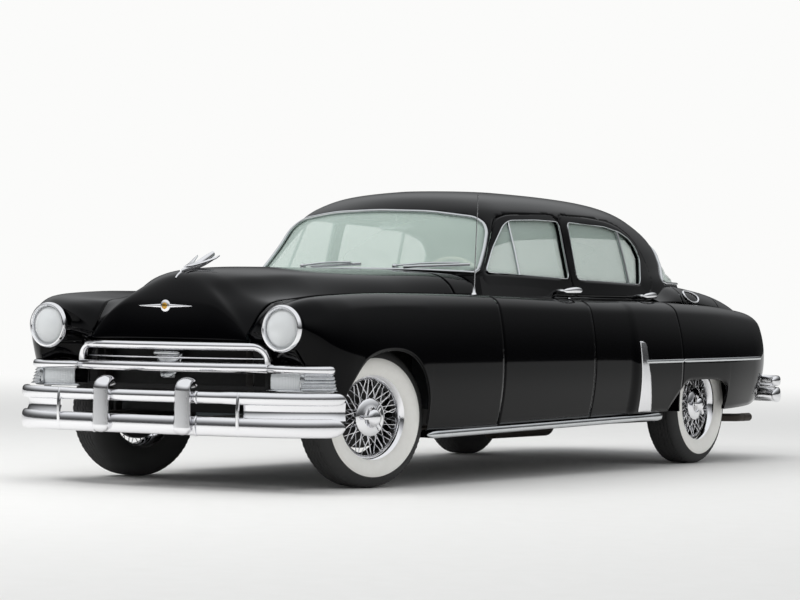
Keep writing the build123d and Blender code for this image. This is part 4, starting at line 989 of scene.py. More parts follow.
class SALOON_OT_roof(bpy.types.Operator):
    """Roof, pillars and the two big panes"""
    bl_idname = "saloon.roof"
    bl_label = "Roof and glass"

    def execute(self, context):
        rows = np.concatenate([np.linspace(946, 1412, 38), 1530 - 118 * (1 - np.linspace(0, 1, 34)[1:]) ** 2])
        pick = np.unique(np.linspace(0, skin_table.shape[1] - 1, 244).round().astype(int))
        at_row = (rows - skin_rows[0]) / (skin_rows[1] - skin_rows[0])
        i = np.clip(at_row.astype(int), 0, len(skin_rows) - 2)
        t = (at_row - i)[:, None, None]
        grid = skin_table[i][:, pick] * (1 - t) + skin_table[i + 1][:, pick] * t
        along_u, along_v = np.gradient(grid, axis=1), np.gradient(grid, axis=0)
        # Outline, whether it is seen along the doors' lean, first and last place round the cabin's half
        openings = [(rounded([(-60, 1092)] + screen_line + [(-60, 1412)], 60), False, 0, 400),
                    (rounded([(-60, 1062)] + backlight_line + [(-60, 1340)], 70), False, 900, 1400),
                    (self.grown(rounded(front_door_line, 70, 965)), True, 150, 1200),
                    (self.grown(rounded(rear_door_line, 70, 965)), True, 150, 1200)]
        gone = np.zeros((grid.shape[0] - 1, grid.shape[1] - 1), bool)
        for loop, leaning, first, last in openings:
            zone = (pick[None] >= first) & (pick[None] <= last) & (rows[:, None] < 1420)
            flat = self.seen(grid, leaning)
            gap, near = [v.reshape(grid.shape[:2] + v.shape[1:]) for v in reach(flat.reshape(-1, 2), loop)]
            cu, cv = [self.seen(v, leaning, 0) for v in (along_u, along_v)]
            det = cu[..., 0] * cv[..., 1] - cu[..., 1] * cv[..., 0]
            det = np.where(np.abs(det) < 1e-6, 1e-6, det)
            d = near - flat
            du = (d[..., 0] * cv[..., 1] - d[..., 1] * cv[..., 0]) / det
            dv = (cu[..., 0] * d[..., 1] - cu[..., 1] * d[..., 0]) / det
            snap = zone & (np.abs(du) < 0.56) & (np.abs(dv) < 0.56)
            grid = np.where(snap[..., None], grid + du[..., None] * along_u + dv[..., None] * along_v, grid)
            mid = self.seen(0.25 * (grid[:-1, :-1] + grid[1:, :-1] + grid[:-1, 1:] + grid[1:, 1:]), leaning)
            inside = reach(mid.reshape(-1, 2), loop)[0].reshape(gone.shape) < 0
            gone |= inside & zone[:-1, :-1] & zone[1:, 1:]
        points, quads = sheet(raised(grid, proud))
        half = (points, quads[~gone.reshape(-1)])
        top = points.reshape(grid.shape)[-1]
        lid = disc(np.concatenate([top, top[-2:0:-1] * (-1, 1, 1)]), (0, 0, 6), 9)
        put("roof_shell", joined(both(half), lid), "lacquer", "car", ["roof"], wall=26.0, lining="headlining",
            inside=(0, 2200, 1000))

        screen = rounded(screen_line + [(-x, z) for x, z in screen_line[-2:0:-1]], 60)
        back = rounded(backlight_line + [(-x, z) for x, z in backlight_line[-2:0:-1]], 70)
        r = np.linspace(1.012, 0, 14)[:, None, None]
        panes = []
        for loop, place, way in ((screen, house_front, 1), (back, house_back, -1)):
            line = even(loop, 200, True)
            centre = line.mean(0)
            flat = centre + (line[None] - centre) * r
            aft = place(np.abs(flat[..., 0]), flat[..., 1]) + way * 14
            panes.append(sheet(np.stack([flat[..., 0], aft, flat[..., 1]], -1), False, True))
            edge = np.stack([line[:, 0], place(np.abs(line[:, 0]), line[:, 1]) - way * 3, line[:, 1]], -1)
            name = "screen_trim" if way > 0 else "backlight_trim"
            put(name, carried(edge, oval(8, 12, 14, 0.8), up=(0, -way, 0.35), closed=True), "bright_trim",
                "car")
        put("big_panes", joined(*panes), "green_glass", "car", ["fixed_glass"], wall=5.0,
            inside=(0, 2200, 1150))
        return {"FINISHED"}

    def seen(self, points, leaning, belt=belt_x):
        """Points or steps as (x, z) from the ends, or as (aft, z) along the doors' lean."""
        if leaning:
            return np.stack([points[..., 1] - high_lean * (points[..., 0] - belt), points[..., 2]], -1)
        return points[..., [0, 2]]

    def grown(self, loop):
        """A door's outline with its shut gap."""
        centre = loop.mean(0)
        return centre + (loop - centre) * (1 + shut / np.linalg.norm(loop - centre, axis=1, keepdims=True))


def nose_arc(x, by=0.0):
    """The plan curve that the grille follows."""
    bow = (570.0 ** 2 + 116.0 ** 2) / (2 * 116.0)
    return -735 - by + bow - np.sqrt(bow ** 2 - np.minimum(np.abs(x), 900) ** 2)


class SALOON_OT_grille(bpy.types.Operator):
    """Grille hoop, middle bar, centre block and lamp housings"""
    bl_idname = "saloon.grille"
    bl_label = "Grille"

    def execute(self, context):
        corner = np.linspace(0, np.pi / 2, 14)
        left = np.stack([493 + 72 * np.cos(corner), 618 + 72 * np.sin(corner)], -1)
        line = np.vstack([[(565, 585)], left, np.stack([np.linspace(480, -480, 60), np.full(60, 690.0)], -1),
                          left[::-1] * (-1, 1), [(-565, 585)]])
        line = even(line, 160)
        path = np.stack([line[:, 0], nose_arc(line[:, 0]) + 16, line[:, 1]], -1)
        bar = carried(path, oval(22, 21, 20, 0.85), up=self.outwards(line))
        t = np.linspace(-1, 1, 90)
        x = 570 * t
        middle = carried(np.stack([x, nose_arc(x) + 14, np.full_like(x, 587.0)], -1), oval(24, 25, 22, 0.75))
        inner = carried(np.stack([x * 0.94, nose_arc(x) + 30, np.full_like(x, 632.0)], -1), oval(7, 5, 12))
        put("grille_bars", joined(bar, middle, inner), "chrome", "car", ["grille"])
        # A near-black sheet behind the bars: painted shade that darkens the grille opening
        x = down(-600, 600, 60)
        z = over(470, 716, 12)
        put("grille_back", sheet(spread(x, nose_arc(x) + 135, z)), "painted_shade_black", "car", wall=2.0,
            inside=(0, 0, 600))
        s = down(0, 1, 30)
        u = over(-1, 1, 40)
        wide = 84 - 44 * s ** 1.4
        z = 652 - 120 * s
        out = 30 * np.sqrt(np.maximum(1 - u ** 2, 0)) + 5 * np.abs(np.sin(s * np.pi * 4)) * (s > 0.35)
        face = spread(wide * u, nose_arc(wide * u) + 92 - out, z)
        put("grille_block", joined(sheet(face), pillow((0, -656, 655), (80, 26, 15), (0.5, 0.6))),
            "cast_chrome", "car",
            wall=6.0, inside=(0, -600, 600))

        plan = smooth_line([(574, -630), (640, -655), (720, -664), (800, -650), (852, -622), (886, -582),
                            (899, -540)], 3)
        plan = even(plan, 60)
        cap = carried(np.stack([plan[:, 0] - 4, plan[:, 1] + 8, np.full(60, 585.0)], -1),
                      oval(24, 24, 22, 0.85),
                      scale=np.linspace(1.0, 0.92, 60) * round_ends(60, 5))
        put("lamp_caps", both(cap), "chrome", "car")
        sole = carried(np.stack([plan[:, 0] - 8, plan[:, 1] + 12, np.full(60, 484.0)], -1), oval(16, 8, 14),
                       scale=round_ends(60, 3))
        split = 34
        lens_path = plan[4:split]
        z = over(488, 566, 20)
        lens = spread(lens_path[:, :1] - 3, lens_path[:, 1:] + 6 + ((z - 527) / 38) ** 2 * 3, z)
        put("parking_lenses", both(sheet(lens)), "parking_glass", "car", wall=5.0, inside=(600, -300, 544))
        rib_path = even(plan[split:], 32)
        z = over(488, 568, 64)
        ridge = 8 * np.abs(np.sin((z - 488) / 80 * np.pi * 5)) ** 0.7 - (568 - z) * 0.28
        step = np.gradient(rib_path, axis=0)
        out = np.stack([-step[:, 1], step[:, 0]], -1)
        out = -out / np.linalg.norm(out, axis=1, keepdims=True)
        ribs = spread(rib_path[:, :1] - out[:, :1] * (ridge - 6) - 3,
                      rib_path[:, 1:] - out[:, 1:] * (ridge - 6) + 3, z)
        post = plan[split]
        put("grille_ends",
            both(joined(sheet(ribs), sole, pillow((post[0], post[1] + 4, 526), (13, 12, 38), (0.5, 0.5)))),
            "cast_chrome", "car", wall=2.0, inside=(600, -300, 544))
        return {"FINISHED"}

    def outwards(self, line):
        """The direction across the hoop's line in the front view."""
        step = np.gradient(line, axis=0)
        flat = np.stack([-step[:, 1], 0 * step[:, 0], step[:, 0]], -1)
        return -flat / np.linalg.norm(flat, axis=1, keepdims=True)


def bumper_line(front):
    """The bumper's plan curve from side to side: one wide arc, and a turn round each corner."""
    if front:
        half = [(0, -840), (330, -830), (560, -806), (700, -780), (815, -728), (892, -658), (938, -588),
                (955, -528)]
    else:
        half = [(0, 4606), (330, 4597), (560, 4576), (700, 4548), (800, 4500), (864, 4434), (896, 4360),
                (902, 4270)]
    line = half[:0:-1] + [(-x, y) for x, y in half]
    return even(smooth_line([(-x, y) for x, y in line], 3), 150)


class SALOON_OT_bumpers(bpy.types.Operator):
    """Both bumpers with their guards"""
    bl_idname = "saloon.bumpers"
    bl_label = "Bumpers"

    def execute(self, context):
        for name, front, low, high in (("front_bumper", True, 311.0, 447.0),
                                       ("rear_bumper", False, 384.0, 470.0)):
            line = bumper_line(front)
            way = -1 if front else 1
            wing = np.clip((np.abs(line[:, 0]) - 430) / 60, 0, 1)
            upper = carried(np.stack([line[:, 0], line[:, 1], high + 0 * wing], -1),
                            oval(16, 28, 24, 0.9), scale=(1 + 0.1 * wing) * round_ends(len(line), 4))
            lower = carried(np.stack([line[:, 0], line[:, 1], low + 0 * wing], -1), oval(19, 46, 28, 0.85),
                            scale=round_ends(len(line), 7))
            parts = [upper, lower]
            for sign in (-1, 1):
                web_line = line[line[:, 0] * sign > 545]
                z = over(low + 34, high - 16, 14)
                sag = 12 * np.sin(np.linspace(0, np.pi, 14))[None]
                x = web_line[:, :1] * (1 - sag / 1200)
                web = spread(x, web_line[:, 1:] - way * (6 + sag * 0.8), z)
                parts.append(sheet(web))
                a = np.linspace(-np.pi / 2, np.pi / 2, 24)
                at = np.interp(540.0, np.abs(line[:75, 0])[::-1], line[:75, 1][::-1])
                rib = np.stack([540 * sign + 0 * a, at + way * (6 + 12 * np.cos(a)),
                                (low + high) / 2 - 9 + ((high - low) / 2 + 30) * np.sin(a)], -1)
                parts.append(carried(rib, oval(10, 9, 12), up=(1, 0, 0)))
            put(f"{name}_bars", joined(*parts), "chrome", "car", [name])
            guard_face = -889 if front else 4674
            a = np.radians(np.linspace(0, 165, 40))
            front_at = guard_face - way * 27
            path = np.vstack([np.stack([0 * a, front_at + 0 * a,
                                        np.linspace(low - 46, high + 34, 40, endpoint=False)], -1),
                              np.stack([0 * a, front_at - way * 36 * (1 - np.cos(a)),
                                        high + 34 + 36 * np.sin(a)], -1)])
            guard = carried(path, oval(26, 45, 28, 0.95), up=(1, 0, 0),
                            scale=np.linspace(1.08, 1, 80) * np.linspace(1, 0.9, 80) * round_ends(80, 6))
            parts = []
            for sign in (-1, 1):
                parts.append(moved(guard, (245 * sign, 0, 0)))
                for z_mid, tall, deep in ((low, 46, 20), (high, 28, 17)):
                    a = round_the_clock(40)
                    hoop = np.stack([(245 + 62) * sign + 0 * a, (-834 if front else 4600) + deep * np.cos(a),
                                     z_mid + tall * np.sin(a)], -1)
                    parts.append(carried(hoop, oval(4, 6, 12), up=(1, 0, 0), closed=True))
            put(f"{name}_guards", joined(*parts), "chrome", "car")
            irons = [pillow((sign * 400, (-742 if front else 4450), 312 if front else 370),
                            (20, 62 if front else 140, 24), (0.3, 0.3)) for sign in (-1, 1)]
            put(f"{name}_irons", joined(*irons), "frame_enamel", "car")
        return {"FINISHED"}


class SALOON_OT_lamps(bpy.types.Operator):
    """Headlamps and tail lamps"""
    bl_idname = "saloon.lamps"
    bl_label = "Lamps"

    def execute(self, context):
        face = turned_about("Z", -90)
        ring = [(-60, 97), (2, 99), (4, 112), (10, 114), (22, 113), (32, 106), (33, 101), (26, 95), (14, 92),
                (-6, 90)]
        bezel = moved(lathe(ring, 96), lamp_at, face)
        put("headlamp_bezels", both(bezel), "chrome", "car", ["front_lamps"])
        bowl = moved(lathe([(-6, 91), (-20, 74), (-40, 50), (-52, 24), (-55, 0)], 64), lamp_at, face)
        put("headlamp_bowls", both(bowl), "reflector", "car")
        glass = moved(lathe([(12, 93), (24, 76), (34, 53), (40, 27), (42, 0)], 64), lamp_at, face)
        put("headlamp_glass", both(glass), "lamp_glass", "car", ["headlamp_lenses"], wall=3.5,
            inside=(0, 0, 780))
        back = turned_about("Z", 58)
        rim = moved(lathe([(-30, 58), (18, 58), (26, 52), (24, 46), (10, 44)], 48), tail_lamp_at, back)
        put("tail_bezels", both(rim), "chrome", "car")
        lens = moved(lathe([(-6, 46), (26, 44), (44, 30), (52, 12), (53, 0)], 48), tail_lamp_at, back)
        put("tail_lenses", both(lens), "ruby_lens", "car", ["tail_lamps"])
        return {"FINISHED"}


def wheel_parts(sizes):
    """A wheel at the origin, its face towards +X: (name, finish, part) rows."""
    side = [(77, 200), (82, 207), (92, 222), (100, 243), (103, 262), (102, 284), (98, 306), (88, 326),
            (76, 339),
            (66, 343.5)]
    tread = [(x, 346.5 - 1.5 * (x / 60) ** 2) for x in np.linspace(60, -60, 33)]
    line = np.array(side + tread + [(-x, r) for x, r in side[::-1]] + [(-70, 197), (70, 197), (77, 200)])
    count = 200
    t = round_the_clock(count)[:, None]
    r = np.broadcast_to(line[:, 1], (count, len(line))).copy()
    x = line[:, 0][None]
    on_tread = (line[:, 1] > 344)[None]
    zig = x + 5 * np.sin(t * 70)
    groove = np.abs((zig + 60) % 24 - 12) < 2.4
    r -= np.where(on_tread & groove, 6.0, 0.0)
    shoulder = (np.abs(x) > 62) & (np.abs(x) < 92) & (line[:, 1] > 318)[None]
    r -= np.where(shoulder & (np.sin(t * 70) > 0.3), 3.0, 0.0)
    tyre = sheet(np.stack([x + 0 * t, r * np.cos(t), r * np.sin(t)], -1), True, False)
    wall = lathe([(80, 205), (86, 211), (95, 223), (102, 243), (105, 262), (104.2, sizes.whitewall - 6),
                  (101, sizes.whitewall), (96, sizes.whitewall), (94, 262), (88, 226), (78, 206), (80, 205)],
                 96)
    rim = lathe([(-78, 209), (-72, 211), (-68, 200), (-50, 190), (30, 188), (60, 194), (72, 200), (78, 208),
                 (82, 211),
                 (84, 208), (78, 200), (66, 190), (52, 183), (30, 180), (-50, 182), (-74, 192), (-78, 209)],
                128)
    hub = lathe([(-40, 0), (-40, 60), (-10, 62), (20, 55), (52, 60), (60, 92), (66, 93), (71, 84), (73, 66),
                 (78, 50),
                 (88, 45), (101, 43), (108, 36), (112, 22), (113, 0)], 64)
    ears = joined(*[moved(pillow((98, 0, 42), (9, 12, 30), (0.5, 0.6), 24, 14), turn=turned_about("X", a))
                    for a in (90, 210, 330)])
    n = sizes.spokes
    foot = 2 * np.pi * np.arange(n) / n
    lead = np.radians(26) * np.where(np.arange(n) % 2 == 0, 1, -1)
    outer = np.arange(n) % 4 < 2
    fx, fr = np.where(outer, 58, 8), np.where(outer, 72, 55)
    top_x = np.where(outer, 26, 52)
    start = np.stack([fx, fr * np.cos(foot), fr * np.sin(foot)], -1)
    end = np.stack([top_x, 183 * np.cos(foot + lead), 183 * np.sin(foot + lead)], -1)
    spokes = rods(start, end, sizes.spoke_gauge / 2, 6)
    drum = lathe([(-44, 0), (-44, 150), (-40, 153), (-6, 153), (-4, 140), (-4, 0)], 64)
    return [("tyre", "tyre_rubber", tyre), ("whitewall", "white_rubber", wall), ("rim", "chrome", rim),
            ("hub", "chrome", joined(hub, ears)), ("spokes", "chrome", spokes),
            ("drum", "frame_enamel", drum)]


class SALOON_OT_wheels(bpy.types.Operator):
    """Tyres and wire wheels"""
    bl_idname = "saloon.wheels"
    bl_label = "Wheels"

    def execute(self, context):
        sizes = context.scene.saloon_sizes
        parts = wheel_parts(sizes)
        turn = turned_about("Z", -math.degrees(sizes.steer))
        for place in ("front", "rear"):
            for side in ("left", "right"):
                body = f"wheel_{place}_{side}"
                for name, finish_name, part in parts:
                    one = moved(part, (front_track - king_pin if place == "front" else rear_track, 0, 0))
                    one = mirrored(one) if side == "right" else one
                    if place == "front":
                        one = moved(moved(one, turn=turn),
                                    (-king_pin if side == "right" else king_pin, 0, axle_up))
                    else:
                        one = moved(one, (0, wheelbase, axle_up))
                    stands = {"tyre": [f"tyre_{place}_{side}"], "rim": [f"wheel_{place}_{side}"]}.get(name,
                                                                                                      [])
                    put(f"{body}_{name}", one, finish_name, body, stands, crease=35)
        return {"FINISHED"}


class SALOON_OT_trim(bpy.types.Operator):
    """Side strips, sill mouldings, ornament, wipers, mirror and aerial"""
    bl_idname = "saloon.trim"
    bl_label = "Trim"

    def execute(self, context):
        sizes = context.scene.saloon_sizes
        aft = np.linspace(2936, 4082, 80)
        strip = on_flank(rear_rows, aft, 606.4 + (aft - 2936) * 0.0063, 3)
        put("quarter_strips", both(carried(strip, oval(6, 10.5, 12, 0.8), scale=round_ends(80, 2))),
            "bright_trim", "car")
        aft = np.linspace(268, 2786, 64)
        z = foot_line(aft) - 24
        path = np.stack([918 + 0 * aft, aft, z], -1)
        sill = carried(path, oval(19, 20, 20, 0.75), 
                       scale=round_ends(64, 2) * (1 + 0.4 * np.clip((aft - 2550) / 180, 0, 1)))
        put("sill_mouldings", both(sill), "bright_trim", "car")
        t = np.linspace(0, 1, 50)
        aft = -600 + 315 * t
        base = crown(hood_rows, aft, 0 * aft)[:, 2]
        top = base + 4 + 26 * t + 70 * np.clip((t - 0.45) / 0.55, 0, 1) ** 1.6
        body = carried(np.stack([0 * t, aft, (base + top) / 2], -1), oval(9, 14, 16, 0.9),
                       scale=0.45 + 1.1 * t * (1.2 - t))
        s = down(0, 1, 24)
        c = over(0, 1, 16)
        wing_aft = -530 + 170 * s + (70 - 40 * s) * c
        wing = spread(6 + 62 * s + 0 * c, wing_aft, 1078 + 44 * s ** 1.3 + 16 * c)
        put("hood_wings", both(sheet(wing)), "chrome", "hood", wall=7.0, inside=(0, -400, 1000))
        tip = carried(np.stack([0 * t, -560 + 270 * t, np.interp(t, [0, 0.5, 1], [1052, 1084, 1146])], -1),
                      oval(11, 17, 18, 0.9),
                      scale=0.35 + 1.2 * np.sin(np.pi * np.clip(t * 0.8 + 0.05, 0, 1)) * 0.7)
        put("hood_ornament", joined(body, tip), "chrome", "hood")
        for side in (-1, 1):
            post = np.array([[side * 300 - 40, 985, 1096.0], [side * 300 - 40, 975, 1112.0]])
            arm = np.array([[side * 300 - 40, 978, 1110.0], [side * 300 + 130, 996, 1126.0],
                            [side * 300 + 290, 1012, 1128.0]])
            arm[:, 1] = house_front(np.abs(arm[:, 0]), arm[:, 2]) - 16
            wiper = joined(carried(even(smooth_line(arm, 1), 20), oval(4, 5, 10)),
                           pillow((side * 300 - 40, arm[0, 1] + 6, 1106), (14, 16, 14), (0.8, 0.8), 20, 12))
            blade = arm + (0, -3, -8)
            blade = carried(even([blade[0] + (60, -2, 2), blade[2] + (60, 10, 0)], 12), oval(4, 8, 10))
            put(f"wiper_{'left' if side > 0 else 'right'}", joined(wiper, blade), "bright_trim", "car")
        mirror = joined(pillow((0, 1400, 1335), (105, 14, 27), (0.5, 0.5), 40, 20),
                        carried(even([(0, 1400, 1350), (0, 1392, 1385), (0, 1345, 1418)], 12),
                                oval(5, 5, 10)))
        put("inner_mirror", mirror, "bright_trim", "car")
        mast = np.array([[800.0, 900, 948], [806, 903, 1200], [814, 906, sizes.aerial]])
        mast = joined(carried(even(mast, 24), oval(2.6, 2.6, 8), up=(0, 1, 0)),
                      moved(lathe([(0, 0), (0, 22), (12, 16), (26, 9), (52, 7), (54, 0)], 24),
                            (800, 900, 946),
                            turned_about("Y", -90)))
        put("aerial", mast, "chrome", "car")
        a = round_the_clock(60)
        aft = 3440 + 98 * np.cos(a)
        scoop = crown(deck_rows, aft, 0.88 - 0.11 * np.sin(a)) + (5, 0, 4)
        put("air_scoops", both(carried(scoop, oval(6, 7, 12), up=(1, 0, 0), closed=True)), "chrome", "car")
        return {"FINISHED"}


class SALOON_OT_cabin(bpy.types.Operator):
    """Seats, dashboard and steering wheel"""
    bl_idname = "saloon.cabin"
    bl_label = "Cabin"

    def execute(self, context):
        self.seat("front", 1668, 2125, 480, 615, 640, (2120, 600, 2300, 1005), 130)
        self.seat("rear", 2762, 3120, 535, 665, 612, (3110, 655, 3275, 1008), 110)
        x = down(-628, 628, 100)
        t = round_the_clock(40)[None]
        back, face, low, top = 915, 1150, 890, 1056
        ring_aft = (back + face) / 2 + (face - back) / 2 * squared(np.cos(t), 0.45)
        ring_z = (low + top) / 2 + (top - low) / 2 * squared(np.sin(t), 0.45)
        grid = spread(x, ring_aft, ring_z)
        ends = np.concatenate([grid[:1].mean(1, keepdims=True).repeat(40, 1), grid,
                               grid[-1:].mean(1, keepdims=True).repeat(40, 1)])
        limit = np.maximum(house_side(np.maximum(ends[..., 1], 1000), ends[..., 2]) - 60, 200)
        ends[..., 0] = np.clip(ends[..., 0], -limit, limit)
        put("dash_shell", sheet(ends, False, True), "dash_enamel", "car", ["dashboard"], crease=60)
        dials = joined(*[moved(lathe([(-4, 0), (-4, 44), (4, 46), (7, 42), (4, 38), (2, 0)], 40),
                               (x0, 1150, 985),
                               turned_about("Z", 90)) for x0 in (300, 380, 460, -40)])
        put("dash_dials", dials, "bright_trim", "car")
        faces = joined(*[moved(lathe([(2.5, 37), (5, 30), (5.5, 0)], 32), (x0, 1150, 985),
                               turned_about("Z", 90))
                         for x0 in (300, 380, 460, -40)])
        put("dial_faces", faces, "dial_face", "car")
        strip = np.stack([np.linspace(-600, 600, 50), np.full(50, 1151.0), np.full(50, 925.0)], -1)
        put("dash_strip", carried(strip, oval(5, 7, 12)), "bright_trim", "car")
        foot = np.array([380, 890, 760.5])
        head = np.array([380, 1430, 955.0])
        axis = (head - foot) / np.linalg.norm(head - foot)
        u = np.array([1.0, 0, 0])
        w = np.cross(axis, u)
        a = round_the_clock(96)
        rim = head + 215 * (np.cos(a)[:, None] * u + np.sin(a)[:, None] * w)
        ring = carried(rim, oval(11, 11, 14), up=axis, closed=True)
        horn = carried(head + 120 * (np.cos(a)[:, None] * u + np.sin(a)[:, None] * w), oval(4, 4, 10),
                       up=axis, closed=True)
        arms = [carried(even([head, head + 208 * (math.cos(b) * u + math.sin(b) * w)], 12), oval(10, 6, 12),
                        up=axis)
                for b in np.radians([20, 160, 270])]
        start = foot + axis * ((905 - foot[1]) / axis[1] + 4)
        column = carried(even([start, head - axis * 6], 12), oval(23, 23, 20))
        put("steering_rim", joined(ring, *arms, column), "ivory_plastic", "car", ["steering_wheel"])
        boss = pillow((0, 0, 0), (34, 34, 16), (1, 1), 32, 16)
        turn = np.stack([u, w, axis], 1)
        put("horn_ring", joined(horn, moved(boss, head, turn)), "chrome", "car")
        return {"FINISHED"}

    def seat(self, name, front, rear, low, top, half, back, crown_high):
        """A bench: a crowned cushion with sewn pleats, and a leaning back of the same cloth."""
        def pad(centre, size, lean):
            a = round_the_clock(130)[:, None]
            b = over(-np.pi / 2, np.pi / 2, 40)
            x = squared(np.cos(b), 0.35) * squared(np.cos(a), 0.3)
            y = squared(np.cos(b), 0.35) * squared(np.sin(a), 0.3)
            z = squared(np.sin(b), 0.55) + 0 * a
            groove = 1 - 0.07 * np.exp(-((((x * size[0] + 2000) % 82) - 41) / 7) ** 2) * (np.abs(y) < 0.8)
            swell = 1 + 0.10 * (1 - x ** 2) * (1 - y ** 2)
            z = z * np.where(z > 0, groove * swell, 1)
            grid = np.stack([x * size[0], y * size[1], z * size[2]], -1)
            grid = grid @ turned_about("X", lean).T
            return sheet(grid + centre, True, False)

        middle = (front + rear) / 2 + 20
        cushion = pad(np.array([0, middle, (low + top) / 2]),
                      (half - 2, (rear - front) / 2 + 18, (top - low) / 2), -3)
        a0, z0, a1, z1 = back
        lean = math.degrees(math.atan2(a1 - a0, z1 - z0))
        tall = math.hypot(a1 - a0, z1 - z0)
        rest = pad(np.array([0, (a0 + a1) / 2 + 10, (z0 + z1) / 2 - 4]), (half - 2, tall / 2 - 4, 62),
                   90 - lean)
        one = put(f"{name}_seat", joined(cushion, rest), "broadcloth", "car",
                  ["seats"] if name == "front" else [])
        floor = 465 if name == "rear" else 372
        base = pillow((0, middle, (floor + low) / 2),
                      (half - 30, (rear - front) / 2 - 12, (low - floor) / 2 + 8),
                      (0.25, 0.25))
        put(f"{name}_seat_base", base, "piping_hide", "car")


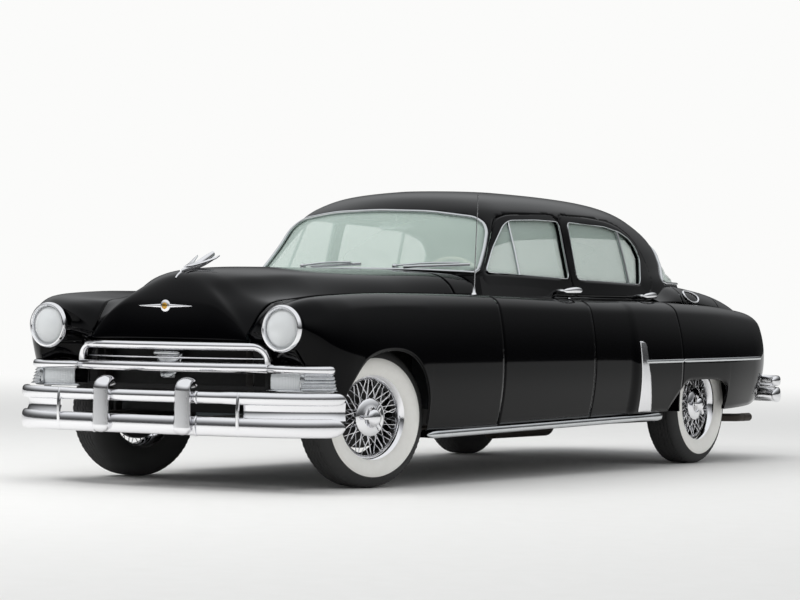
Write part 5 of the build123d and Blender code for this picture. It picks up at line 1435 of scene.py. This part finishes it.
class SALOON_OT_stage(bpy.types.Operator):
    """Floor, lights and camera"""
    bl_idname = "saloon.stage"
    bl_label = "Studio"

    def execute(self, context):
        studio = context.scene.saloon_studio
        a = round_the_clock(96)[:, None]
        r = np.concatenate([[0.0], np.geomspace(0.05, 260, 59)])[None]
        grid = np.stack([r * np.cos(a), r * np.sin(a), 0 * r * a - 0.0005], -1)
        points, quads = sheet(grid, True, False)
        mesh = bpy.data.meshes.new("studio_floor")
        mesh.from_pydata(points.tolist(), [], quads.tolist())
        floor = bpy.data.objects.new("studio_floor", mesh)
        context.scene.collection.objects.link(floor)
        mesh.materials.append(bpy.data.materials["pale_floor"])
        tree = bpy.data.materials["pale_floor"].node_tree
        shader = next(node for node in tree.nodes if node.type == "BSDF_PRINCIPLED")
        place = add(tree, "ShaderNodeTexCoord", {})
        far = add(tree, "ShaderNodeVectorMath", {"operation": "LENGTH"}, [(place, "Object", 0)])
        fade = add(tree, "ShaderNodeMapRange",
                   {"interpolation_type": "SMOOTHSTEP", "From Min": 4.0, "From Max": 22.0},
                   [(far, "Value", "Value")])
        white = add(tree, "ShaderNodeEmission", {"Color": linear("#fbfbfa"), "Strength": 1.0})
        ways = add(tree, "ShaderNodeLightPath", {})
        looked = add(tree, "ShaderNodeMath", {"operation": "MAXIMUM"},
                     [(ways, "Is Camera Ray", 0), (ways, "Is Transmission Ray", 1)])
        share = add(tree, "ShaderNodeMath", {"operation": "MULTIPLY"}, [(looked, 0, 0), (fade, "Result", 1)])
        both_ways = add(tree, "ShaderNodeMixShader", {}, [(share, 0, 0), (shader, 0, 1), (white, 0, 2)])
        out = next(node for node in tree.nodes if node.type == "OUTPUT_MATERIAL")
        tree.links.new(both_ways.outputs[0], out.inputs[0])
        world = bpy.data.worlds.new("studio")
        context.scene.world = world
        world.use_nodes = True
        tree = world.node_tree
        tree.nodes.clear()
        rays = add(tree, "ShaderNodeLightPath", {})
        one = add(tree, "ShaderNodeMath", {"operation": "MAXIMUM"},
                  [(rays, "Is Camera Ray", 0), (rays, "Is Glossy Ray", 1)])
        seen = add(tree, "ShaderNodeMath", {"operation": "MAXIMUM"},
                   [(one, 0, 0), (rays, "Is Transmission Ray", 1)])
        even_light = add(tree, "ShaderNodeBackground",
                         {"Color": linear("#f4f6f8"), "Strength": studio.daylight})
        white = add(tree, "ShaderNodeBackground", {"Color": linear("#fbfbfa"), "Strength": 1.0})
        sky = add(tree, "ShaderNodeTexCoord", {})
        height = add(tree, "ShaderNodeSeparateXYZ", {}, [(sky, "Generated", 0)])
        dusk = add(tree, "ShaderNodeMapRange",
                   {"interpolation_type": "SMOOTHSTEP", "From Min": 0.02, "From Max": 0.6,
                                                "To Min": 0.05, "To Max": 0.95}, [(height, "Z", "Value")])
        dome = add(tree, "ShaderNodeBackground", {"Color": linear("#f4f6f8")}, [(dusk, "Result", "Strength")])
        mirrored_sky = add(tree, "ShaderNodeMixShader", {},
                           [(rays, "Is Glossy Ray", 0), (white, 0, 1), (dome, 0, 2)])
        mix = add(tree, "ShaderNodeMixShader", {}, [(seen, 0, 0), (even_light, 0, 1), (mirrored_sky, 0, 2)])
        add(tree, "ShaderNodeOutputWorld", {}, [(mix, 0, "Surface")])
        lamps = [("key", (-3.5, -6.5, 6.5), (38, 0, -30), (5.0, 3.0), studio.key),
                 ("top", (0.5, 0.5, 7.0), (0, 0, 0), (4.0, 7.0), 160.0)]
        for name, place, angles, size, power in lamps:
            light = bpy.data.lights.new(name, "AREA")
            light.shape = "RECTANGLE"
            light.size, light.size_y = size
            light.energy = power
            lamp = bpy.data.objects.new(name, light)
            lamp.location = place
            lamp.rotation_euler = [math.radians(v) for v in angles]
            lamp.visible_glossy = False
            context.scene.collection.objects.link(lamp)
        azimuth, elevation, roll = [math.radians(v) for v in (32.4355, -0.1783, 0.7177)]
        ahead = -np.array([math.sin(azimuth) * math.cos(elevation), -math.cos(azimuth) * math.cos(elevation),
                           math.sin(elevation)])
        right = np.cross(ahead, [0, 0, 1])
        right /= np.linalg.norm(right)
        up = np.cross(right, ahead)
        right, up = right * math.cos(roll) + up * math.sin(roll), up * math.cos(roll) - right * math.sin(roll)
        camera = bpy.data.cameras.new("camera")
        camera.sensor_width = 36.0
        camera.lens = studio.lens
        camera.clip_end = 600.0
        eye = bpy.data.objects.new("camera", camera)
        eye.matrix_world = Matrix([[*row, place] for row, place in zip(np.stack([right, up, -ahead], 1),
                                                                       (8.796, -14.287, 0.879))]
                                  + [[0, 0, 0, 1]])
        context.scene.collection.objects.link(eye)
        context.scene.camera = eye
        context.scene.view_settings.view_transform = "Standard"
        return {"FINISHED"}


class SALOON_PT_panel(bpy.types.Panel):
    """Lists the pieces of the saloon"""
    bl_label = "Saloon"
    bl_idname = "SALOON_PT_panel"
    bl_space_type = "VIEW_3D"
    bl_region_type = "UI"
    bl_category = "Saloon"

    def draw(self, context):
        for group in (context.scene.saloon_sizes, context.scene.saloon_studio):
            for name in group.__annotations__:
                self.layout.prop(group, name)
        for operator in operators:
            self.layout.operator(operator.bl_idname)


operators = (SALOON_OT_finishes, SALOON_OT_front, SALOON_OT_doors, SALOON_OT_rear, SALOON_OT_roof,
             SALOON_OT_grille,
             SALOON_OT_bumpers, SALOON_OT_lamps, SALOON_OT_wheels, SALOON_OT_trim, SALOON_OT_cabin,
             SALOON_OT_stage)
classes = (SALOON_sizes, SALOON_studio, *operators, SALOON_PT_panel)


def register():
    """Adds the classes and the scene's two groups of values."""
    for one in classes:
        bpy.utils.register_class(one)
    bpy.types.Scene.saloon_sizes = bpy.props.PointerProperty(type=SALOON_sizes)
    bpy.types.Scene.saloon_studio = bpy.props.PointerProperty(type=SALOON_studio)


def unregister():
    """Takes them away again."""
    del bpy.types.Scene.saloon_studio
    del bpy.types.Scene.saloon_sizes
    for one in reversed(classes):
        bpy.utils.unregister_class(one)


def main():
    """Builds every piece in order."""
    register()
    for operator in operators:
        group, name = operator.bl_idname.split(".")
        getattr(getattr(bpy.ops, group), name)()


if __name__ == "__main__":
    main()
